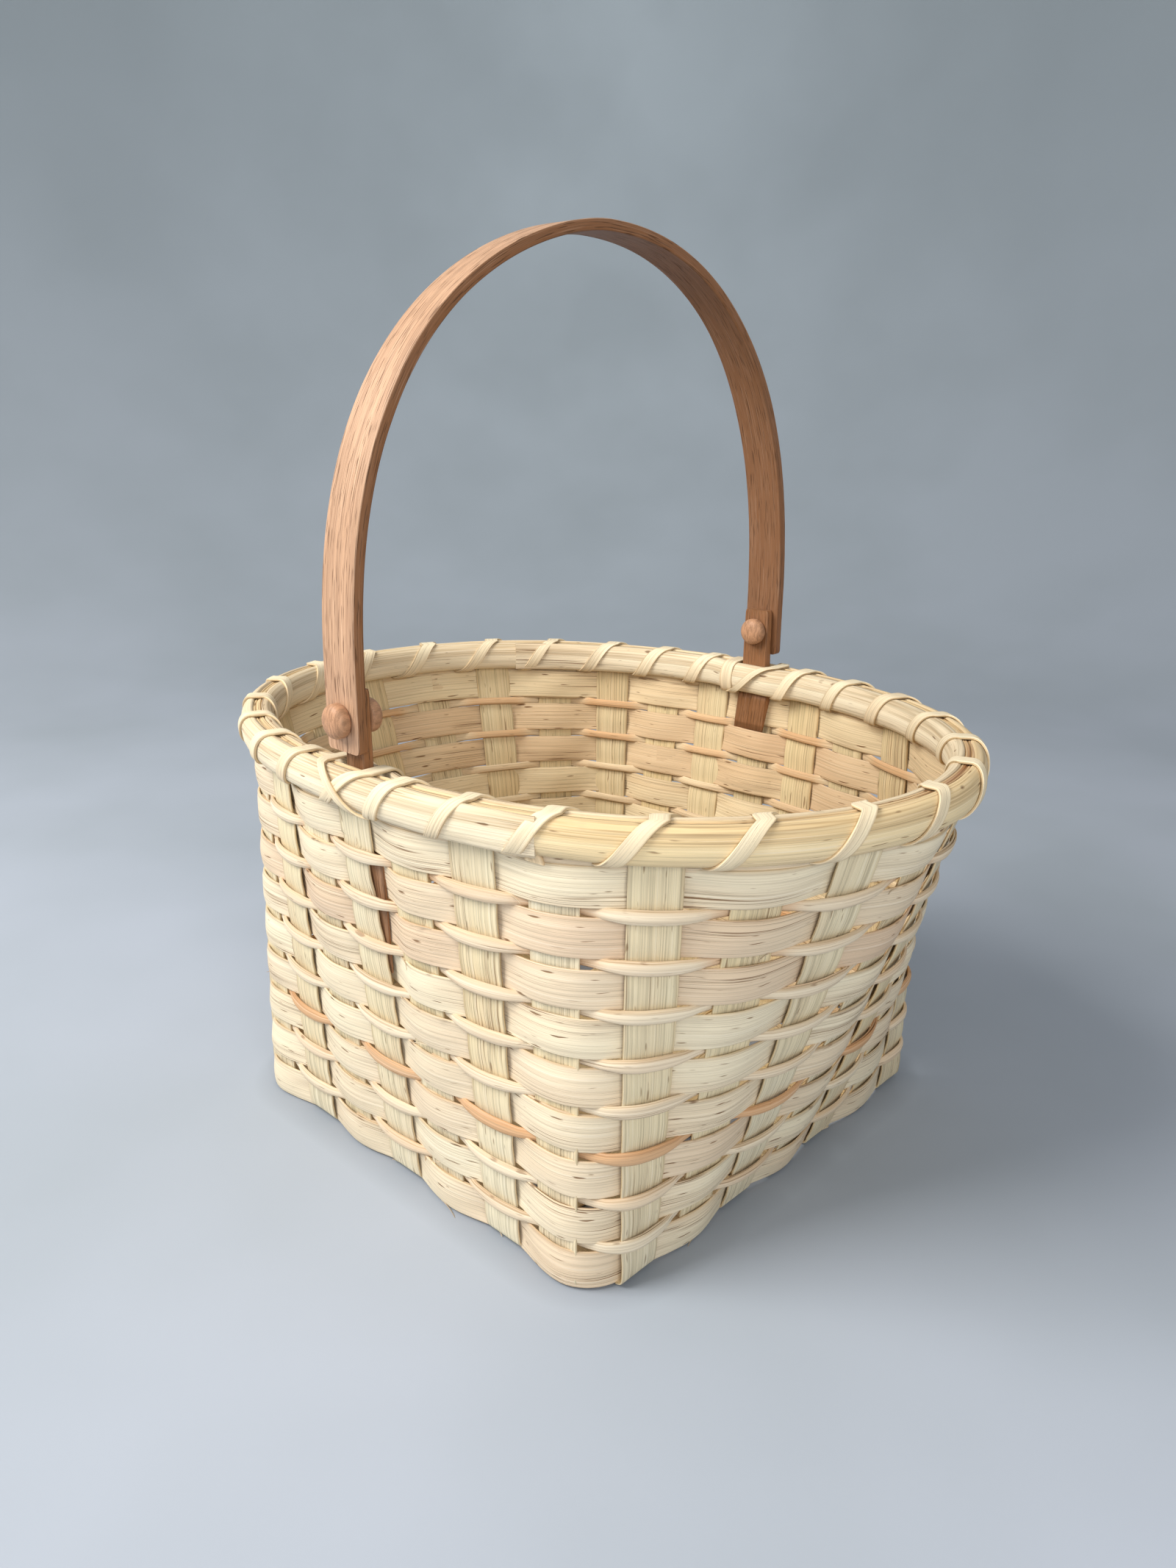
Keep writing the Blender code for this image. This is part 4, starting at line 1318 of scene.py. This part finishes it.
class BASKET_OT_lashing(bpy.types.Operator):
    """Wind the lashing round the rims, crossed at the ears"""

    bl_idname = "basket.lashing"
    bl_label = "Lashing"

    def execute(self, context):
        weave, finish = context.scene.basket_weave, context.scene.basket_finish
        deep = toward(finish.lashing, finish.amber, 0.25)
        material = splint_material(
            "lashing cane", finish.lashing, deep, LASH_WIDTH,
            lines=1200, groove=0.5, flecks=0.35, depth=0.0003
        )
        item = make_strip(
            "wound_lashing",
            [lash_path(), ear_cross_path(FAR_EAR_STAKE), ear_cross_path(NEAR_EAR_STAKE), lash_end_path()],
            flat_profile(LASH_WIDTH, LASH_THICKNESS, 0.00025, columns=4),
            material,
            ragged=weave.ragged,
            ripple=0.00008,
            seed=57.0,
        )
        dress(item, "basket", "lashing_cane", "lashing")
        return {"FINISHED"}


# Ears, handle and pegs


def between_stations(stations, z):
    """Read a row of values at a height from stations that fall in height, evenly from one to the next."""
    for upper, lower in zip(stations, stations[1:]):
        if z >= lower[0]:
            share = min(1.0, max(0.0, (upper[0] - z) / (upper[0] - lower[0])))
            return [a + (b - a) * share for a, b in zip(upper[1:], lower[1:])]
    return list(stations[-1][1:])


def ear_path(stake):
    """A strap held in the rim, with a thin tail that runs down the wall under the wide rows.

    The near ear is slimmer above the rim. The far ear's tail ends under the first row that covers it, because
    the photo shows none further down. A station has a height, how far the strap's face lies inside the
    stakes' middle, its thickness, its shift along the wall and its share of the full width.
    """
    near = stake == NEAR_EAR_STAKE
    slim = NEAR_EAR_SPREAD if near else 1.0
    ear_back = 0.0024
    full = STRAP_THICKNESS
    tail_z = ROWS_TOP_Z - ROW_PITCH
    tip_z = EAR_TIP_Z if near else tail_z - 0.01
    stations = [
        (EAR_TOP_Z - drop, ear_back, full, 0.0, spread * slim)
        for drop, spread in ((0.0, 0.68), (0.0006, 0.74), (0.002, 0.77), (0.012, 0.79))
    ]
    stations += [
        (RIM_TOP_Z, ear_back, full, 0.0, 0.82 * slim),
        (RIM_BOTTOM_Z, ear_back, full, 0.0, 1.0),
        (ROWS_TOP_Z, 0.003, full, 0.0, 1.0),
        (ROWS_TOP_Z - WIDE_HEIGHT, 0.003, 0.0024, TAIL_SHOWN / 2, 1.0),
        (tail_z, 0.0009, 0.0012, TAIL_SHOWN, 1.0),
        (tip_z, 0.0009, 0.0005, STAKE_WIDTH / 2 - 0.002, 0.22),
    ]
    path = Path()
    steps = 110
    for step in range(steps + 1):
        z = EAR_TOP_Z + (tip_z - EAR_TOP_Z) * step / steps
        face, thickness, shift, narrow = between_stations(stations, z)
        middle, heading = stake_place(stake, z)
        tangent, normal = wall_axes(heading)
        point = middle + tangent * shift - normal * (face + thickness / 2)
        path.add(point, normal, tangent, narrow=narrow, thin=thickness / full)
    return path


class BASKET_OT_ears(bpy.types.Operator):
    """Set the two ears in the rim"""

    bl_idname = "basket.ears"
    bl_label = "Ears"

    def execute(self, context):
        finish = context.scene.basket_finish
        material = plank_material("ear wood", finish.ear, finish.ear, 0.8)
        profile = flat_profile(HANDLE_WIDTH, STRAP_THICKNESS, 0.0006)
        for node, stake, seed in (("right_ear", FAR_EAR_STAKE, 60.0), ("left_ear", NEAR_EAR_STAKE, 62.0)):
            item = make_strip(f"bent_{node}", [ear_path(stake)], profile, material, seed=seed, ragged=0.00008)
            dress(item, "basket", "ear_wood", node)
        return {"FINISHED"}


def bow_point(share):
    """The strap's middle line from leg to leg over the crown. The near shoulder is a little flatter."""
    angle = math.pi * share
    leg = LEG_OUTSIDE - STRAP_THICKNESS / 2
    rise = HANDLE_TOP_Z - PIVOT_Z - STRAP_THICKNESS / 2
    half_span = math.copysign(abs(math.cos(angle)) ** (2 / SHOULDER_ROUNDNESS), math.cos(angle))
    height = abs(math.sin(angle)) ** (2 / CROWN_ROUNDNESS)
    near_half = max(0.0, 2 * share - 1)
    sag = NEAR_SHOULDER_SAG * math.sin(math.pi * near_half**0.62) ** 2
    z = PIVOT_Z + LEG_STRAIGHT + (rise - LEG_STRAIGHT) * height - sag
    return Vector((leg * half_span + sag / 2, 0, z))


def handle_path():
    """The strap with its two straight legs, rounded off at their ends, and a crown that clears the rims."""
    leg = LEG_OUTSIDE - STRAP_THICKNESS / 2
    across = Vector((0, 1, 0))
    path = Path()
    lower = []

    # The rounded end of a leg, then its straight part
    clip = 0.0022
    clip_steps = 6
    for step in range(clip_steps + 1):
        share = step / clip_steps
        lower.append((HANDLE_FOOT_Z + clip * share, 0.84 + 0.16 * math.sqrt(1 - (1 - share) ** 2)))
    straight = PIVOT_Z + LEG_STRAIGHT - HANDLE_FOOT_Z - clip
    straight_steps = 10
    for step in range(1, straight_steps):
        lower.append((HANDLE_FOOT_Z + clip + straight * step / straight_steps, 1.0))
    for z, narrow in lower:
        path.add(Vector((leg, 0, z)), Vector((1, 0, 0)), across, narrow=narrow)

    # The bow, whose stations lie a little closer near the legs
    steps = 160
    for step in range(steps + 1):
        even = step / steps
        share = 0.65 * even + 0.35 * (1 - math.cos(math.pi * even)) / 2
        point = bow_point(share)
        crown = ease(PIVOT_Z + 0.105, PIVOT_Z + 0.155, point.z)
        path.add(point, UP, across, narrow=1 - crown * (1 - CROWN_SPREAD / LEG_SPREAD))
    for z, narrow in reversed(lower):
        path.add(Vector((-leg, 0, z)), Vector((-1, 0, 0)), across, narrow=narrow)
    last = len(path.points) - 1
    for index in range(last + 1):
        line = path.points[min(index + 1, last)] - path.points[max(index - 1, 0)]
        path.through[index] = Vector((line.z, 0, -line.x)).normalized()
    return path


class BASKET_OT_handle(bpy.types.Operator):
    """Bend the swing handle"""

    bl_idname = "basket.handle"
    bl_label = "Handle"

    def execute(self, context):
        finish = context.scene.basket_finish
        item = make_strip(
            "bent_handle",
            [handle_path()],
            flat_profile(HANDLE_WIDTH * LEG_SPREAD, STRAP_THICKNESS, 0.00045),
            plank_material("handle wood", finish.handle, finish.handle_inside, 0.7),
            seed=64.0,
            ragged=0.00008,
        )
        dress(item, "handle", "handle_wood", "handle")
        return {"FINISHED"}


def turned_mesh(name, profile, steps):
    """A smooth mesh turned about Z from a profile of (radius, z) points, whose ends may lie on the axis."""
    bm = bmesh.new()
    rings = []
    for radius, z in profile:
        ring = []
        for step in range(steps if radius > 0 else 1):
            angle = 2 * math.pi * step / steps
            ring.append(bm.verts.new((radius * math.cos(angle), radius * math.sin(angle), z)))
        rings.append(ring)
    for upper, lower in zip(rings, rings[1:]):
        for step in range(steps):
            after = (step + 1) % steps
            if len(upper) == 1:
                corners = [upper[0], lower[step], lower[after]]
            elif len(lower) == 1:
                corners = [upper[step], lower[0], upper[after]]
            else:
                corners = [upper[step], lower[step], lower[after], upper[after]]
            bm.faces.new(corners).smooth = True
    mesh = bpy.data.meshes.new(name)
    bm.to_mesh(mesh)
    bm.free()
    return mesh


def button_profile(radius, core_radius, core_z):
    """A domed button with a rounded rim. Its core ends at core_z: a stem below 0, a blind bore above."""
    profile = [(0.0, PEG_HEAD_HEIGHT)]
    steps = 12
    for step in range(1, steps + 1):
        angle = math.pi / 2 * step / steps
        rise = 0.42 + 0.58 * math.cos(angle) ** 0.9
        profile.append((radius * math.sin(angle) ** 0.8, PEG_HEAD_HEIGHT * rise))
    profile += [(radius, PEG_HEAD_HEIGHT * 0.12), (radius * 0.94, 0.0)]
    profile += [(core_radius, 0.0), (core_radius, core_z), (0.0, core_z)]
    return profile


def peg_material(colour):
    """Turned hardwood, with end grain on the crown and pores that run through the peg."""
    material, graph, shader = new_material("peg wood", 0.42)
    place = graph.node("ShaderNodeTexCoord").outputs["Object"]
    stretch = graph.vector("MULTIPLY", place, (200.0, 1100.0, 260.0))
    grain = graph.noise(stretch, detail=3.0, roughness=0.6)
    spots = graph.noise(graph.vector("MULTIPLY", place, (1400.0, 2600.0, 2600.0)), detail=1.0)
    shade = graph.blend(graph.span(grain, 0.4, 0.58, 0.85, 0.0), tuple(colour[:3]), scaled(colour, 0.62))
    shade = graph.blend(graph.span(spots, 0.62, 0.72, 0.0, 0.6), shade, scaled(colour, 0.4))
    finish_surface(graph, shader, shade, grain, 0.00015, 0.36, 0.6)
    return material


class BASKET_OT_pegs(bpy.types.Operator):
    """Turn the two pegs and their caps"""

    bl_idname = "basket.pegs"
    bl_label = "Pegs"

    def execute(self, context):
        finish = context.scene.basket_finish
        material = peg_material(finish.peg)
        low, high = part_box("right_peg")
        radius = (high.z - low.z) / 2 * PEG_SPREAD
        peg_seat = PEG_OUTSIDE - PEG_HEAD_HEIGHT
        cap_seat = CAP_INSIDE + PEG_HEAD_HEIGHT
        peg = button_profile(radius, PEG_STEM_RADIUS, low.x - peg_seat)
        cap = button_profile(radius, CAP_BORE_RADIUS, PEG_HEAD_HEIGHT - CAP_WALL)
        for way, side in ((1, "right"), (-1, "left")):
            for node, profile, seat, facing in (
                (f"{side}_peg", peg, way * peg_seat, way),
                (f"{side}_peg_cap", cap, way * cap_seat, -way),
            ):
                mesh = turned_mesh(f"turned_{node}", profile, 36)
                layer = mesh.uv_layers.new(name="UVMap")
                for loop in mesh.loops:
                    layer.data[loop.index].uv = mesh.vertices[loop.vertex_index].co.xy
                turn = Matrix.Rotation(facing * math.pi / 2, 4, "Y")
                mesh.transform(Matrix.Translation((seat, 0, PIVOT_Z)) @ turn)
                mesh.materials.append(material)
                item = bpy.data.objects.new(f"turned_{node}", mesh)
                context.scene.collection.objects.link(item)
                dress(item, "basket", "peg_wood", node)
        return {"FINISHED"}


# Studio


def paper_material(low, high):
    """Plain paper that goes from a low colour to a high one, away from the camera and upward, as painted shade of
    the light's falloff.

    It has a painted pool of light in the middle of the far side, soft mottles and a faint painted contact shadow
    round the basket.
    """
    material, graph, shader = new_material("studio paper", 0.9)
    shader.inputs["Specular IOR Level"].default_value = 0.1
    low, high = tuple(low), tuple(high)
    place = graph.node("ShaderNodeTexCoord").outputs["Object"]
    _x, _y, z = graph.separate(place)
    ahead = graph.vector("DOT_PRODUCT", place, VIEW_AHEAD)
    beside = graph.math("ABSOLUTE", graph.vector("DOT_PRODUCT", place, VIEW_RIGHT))
    # Painted shade: the paper darkens away from the camera and upward, in place of the light's falloff
    rise = graph.math("ADD", graph.span(ahead, 0.15, 1.2, 0.0, 0.4), graph.span(z, 0.0, 0.9, 0.0, 0.6))
    shade = graph.blend(rise, low, high)
    # Painted pool of light: lighter toward the middle of the far side
    shade = graph.blend(graph.times(graph.span(beside, 0.05, 0.7, 0.7, 0.0), rise), shade, scaled(high, 1.5))
    mottle = graph.noise(place, scale=3.5, detail=3.0)
    shade = graph.blend(graph.span(mottle, 0.35, 0.7, 0.0, 0.5), shade, scaled(high, 0.92))
    # Painted contact shadow: a faint dark band on the floor round the basket's foot
    corner = 0.03
    core = BASE_HALF - corner
    spread = graph.vector("SUBTRACT", graph.vector("ABSOLUTE", place), Vector((core, core, core)))
    away = graph.vector("LENGTH", graph.vector("MAXIMUM", spread, Vector((0.0, 0.0, 0.0))))
    shade = graph.blend(graph.span(away, corner - 0.004, corner + 0.016, 0.45, 0.0), shade, scaled(low, 0.3))
    graph.feed(shader.inputs["Base Color"], shade)
    return material


def add_stage(radius, bend, height, material):
    """A round floor that curves up into a wall all round, so that every view has the same plain ground."""
    profile = [(0.0, 0.0), (0.25, 0.0), (0.5, 0.0), (radius, 0.0)]
    bend_steps = 24
    for step in range(1, bend_steps + 1):
        angle = math.pi / 2 * step / bend_steps
        profile.append((radius + bend * math.sin(angle), bend * (1 - math.cos(angle))))
    profile.append((radius + bend, height))
    mesh = turned_mesh("studio_sweep", profile, 128)
    mesh.materials.append(material)
    item = bpy.data.objects.new("studio_sweep", mesh)
    bpy.context.scene.collection.objects.link(item)


def add_lamp(name, power, size, place, colour):
    """A square lamp that looks at the basket."""
    data = bpy.data.lights.new(name, "AREA")
    data.size = size
    data.energy = power
    data.color = colour
    lamp = bpy.data.objects.new(name, data)
    lamp.location = place
    lamp.rotation_euler = (LAMP_TARGET - Vector(place)).to_track_quat("-Z", "Y").to_euler()
    bpy.context.scene.collection.objects.link(lamp)


def turned(first, second, angle):
    """Two directions square to each other, turned from the first toward the second."""
    cosine, sine = math.cos(angle), math.sin(angle)
    return first * cosine + second * sine, second * cosine - first * sine


def add_camera():
    """The camera of the photograph, turned round the basket and then panned, tipped and rolled a little."""
    azimuth, elevation = math.radians(-46.713), math.radians(22.816)
    distance, look_z = 0.554514, 0.1
    pan, tip, roll = math.radians(-0.132), math.radians(4.959), math.radians(0.441)
    focal_px, long_side_px = 1583.0, 2133.0
    level = math.cos(elevation)
    back = Vector((math.sin(azimuth) * level, -math.cos(azimuth) * level, math.sin(elevation)))
    ahead = -back
    right = ahead.cross(UP).normalized()
    up = right.cross(ahead)
    ahead, right = turned(ahead, right, pan)
    ahead, up = turned(ahead, up, tip)
    right, up = turned(right, up, roll)
    turn = Matrix((right, up, -ahead)).transposed().to_4x4()
    data = bpy.data.cameras.new("camera")
    data.sensor_width = 36.0
    data.lens = focal_px * data.sensor_width / long_side_px
    data.clip_start, data.clip_end = 0.01, 20.0
    camera = bpy.data.objects.new("camera", data)
    camera.matrix_world = Matrix.Translation(back * distance + UP * look_z) @ turn
    bpy.context.scene.collection.objects.link(camera)
    bpy.context.scene.camera = camera


class BASKET_OT_studio(bpy.types.Operator):
    """Set up the floor, the lamps and the camera"""

    bl_idname = "basket.studio"
    bl_label = "Studio"

    def execute(self, context):
        studio = context.scene.basket_studio
        paper = paper_material(studio.floor, studio.wall)
        add_stage(radius=0.85, bend=0.8, height=1.7, material=paper)
        add_lamp("key", studio.key_power, size=0.9, place=(-1.0, 0.55, 1.2), colour=(1.0, 0.985, 0.955))
        add_lamp("fill", studio.fill_power, size=0.7, place=(-0.75, -1.05, 0.7), colour=(1.0, 0.99, 0.97))
        world = bpy.data.worlds.new("studio sky")
        world.use_nodes = True
        background = world.node_tree.nodes["Background"]
        background.inputs["Color"].default_value = (0.96, 0.98, 1.0, 1.0)
        background.inputs["Strength"].default_value = studio.sky
        context.scene.world = world
        context.scene.view_settings.view_transform = "Standard"
        add_camera()
        return {"FINISHED"}


class BASKET_PT_panel(bpy.types.Panel):
    """The basket's pieces, in the order in which they are made"""

    bl_idname = "BASKET_PT_panel"
    bl_label = "Splint Basket"
    bl_space_type = "VIEW_3D"
    bl_region_type = "UI"
    bl_category = "Basket"

    def draw(self, context):
        for group in ("basket_weave", "basket_finish", "basket_studio"):
            box = self.layout.box()
            settings = getattr(context.scene, group)
            for name in settings.bl_rna.properties.keys():
                if name not in ("rna_type", "name"):
                    box.prop(settings, name)
        for operator in OPERATORS:
            self.layout.operator(operator.bl_idname)


OPERATORS = (
    BASKET_OT_studio,
    BASKET_OT_stakes,
    BASKET_OT_wide_rows,
    BASKET_OT_narrow_rows,
    BASKET_OT_rims,
    BASKET_OT_lashing,
    BASKET_OT_ears,
    BASKET_OT_handle,
    BASKET_OT_pegs,
)
CLASSES = (BASKET_PG_weave, BASKET_PG_finish, BASKET_PG_studio, *OPERATORS, BASKET_PT_panel)


def register():
    for item in CLASSES:
        bpy.utils.register_class(item)
    bpy.types.Scene.basket_weave = bpy.props.PointerProperty(type=BASKET_PG_weave)
    bpy.types.Scene.basket_finish = bpy.props.PointerProperty(type=BASKET_PG_finish)
    bpy.types.Scene.basket_studio = bpy.props.PointerProperty(type=BASKET_PG_studio)


def unregister():
    del bpy.types.Scene.basket_studio
    del bpy.types.Scene.basket_finish
    del bpy.types.Scene.basket_weave
    for item in reversed(CLASSES):
        bpy.utils.unregister_class(item)


def main():
    register()
    for operator in OPERATORS:
        group, name = operator.bl_idname.split(".")
        getattr(getattr(bpy.ops, group), name)()


if __name__ == "__main__":
    main()
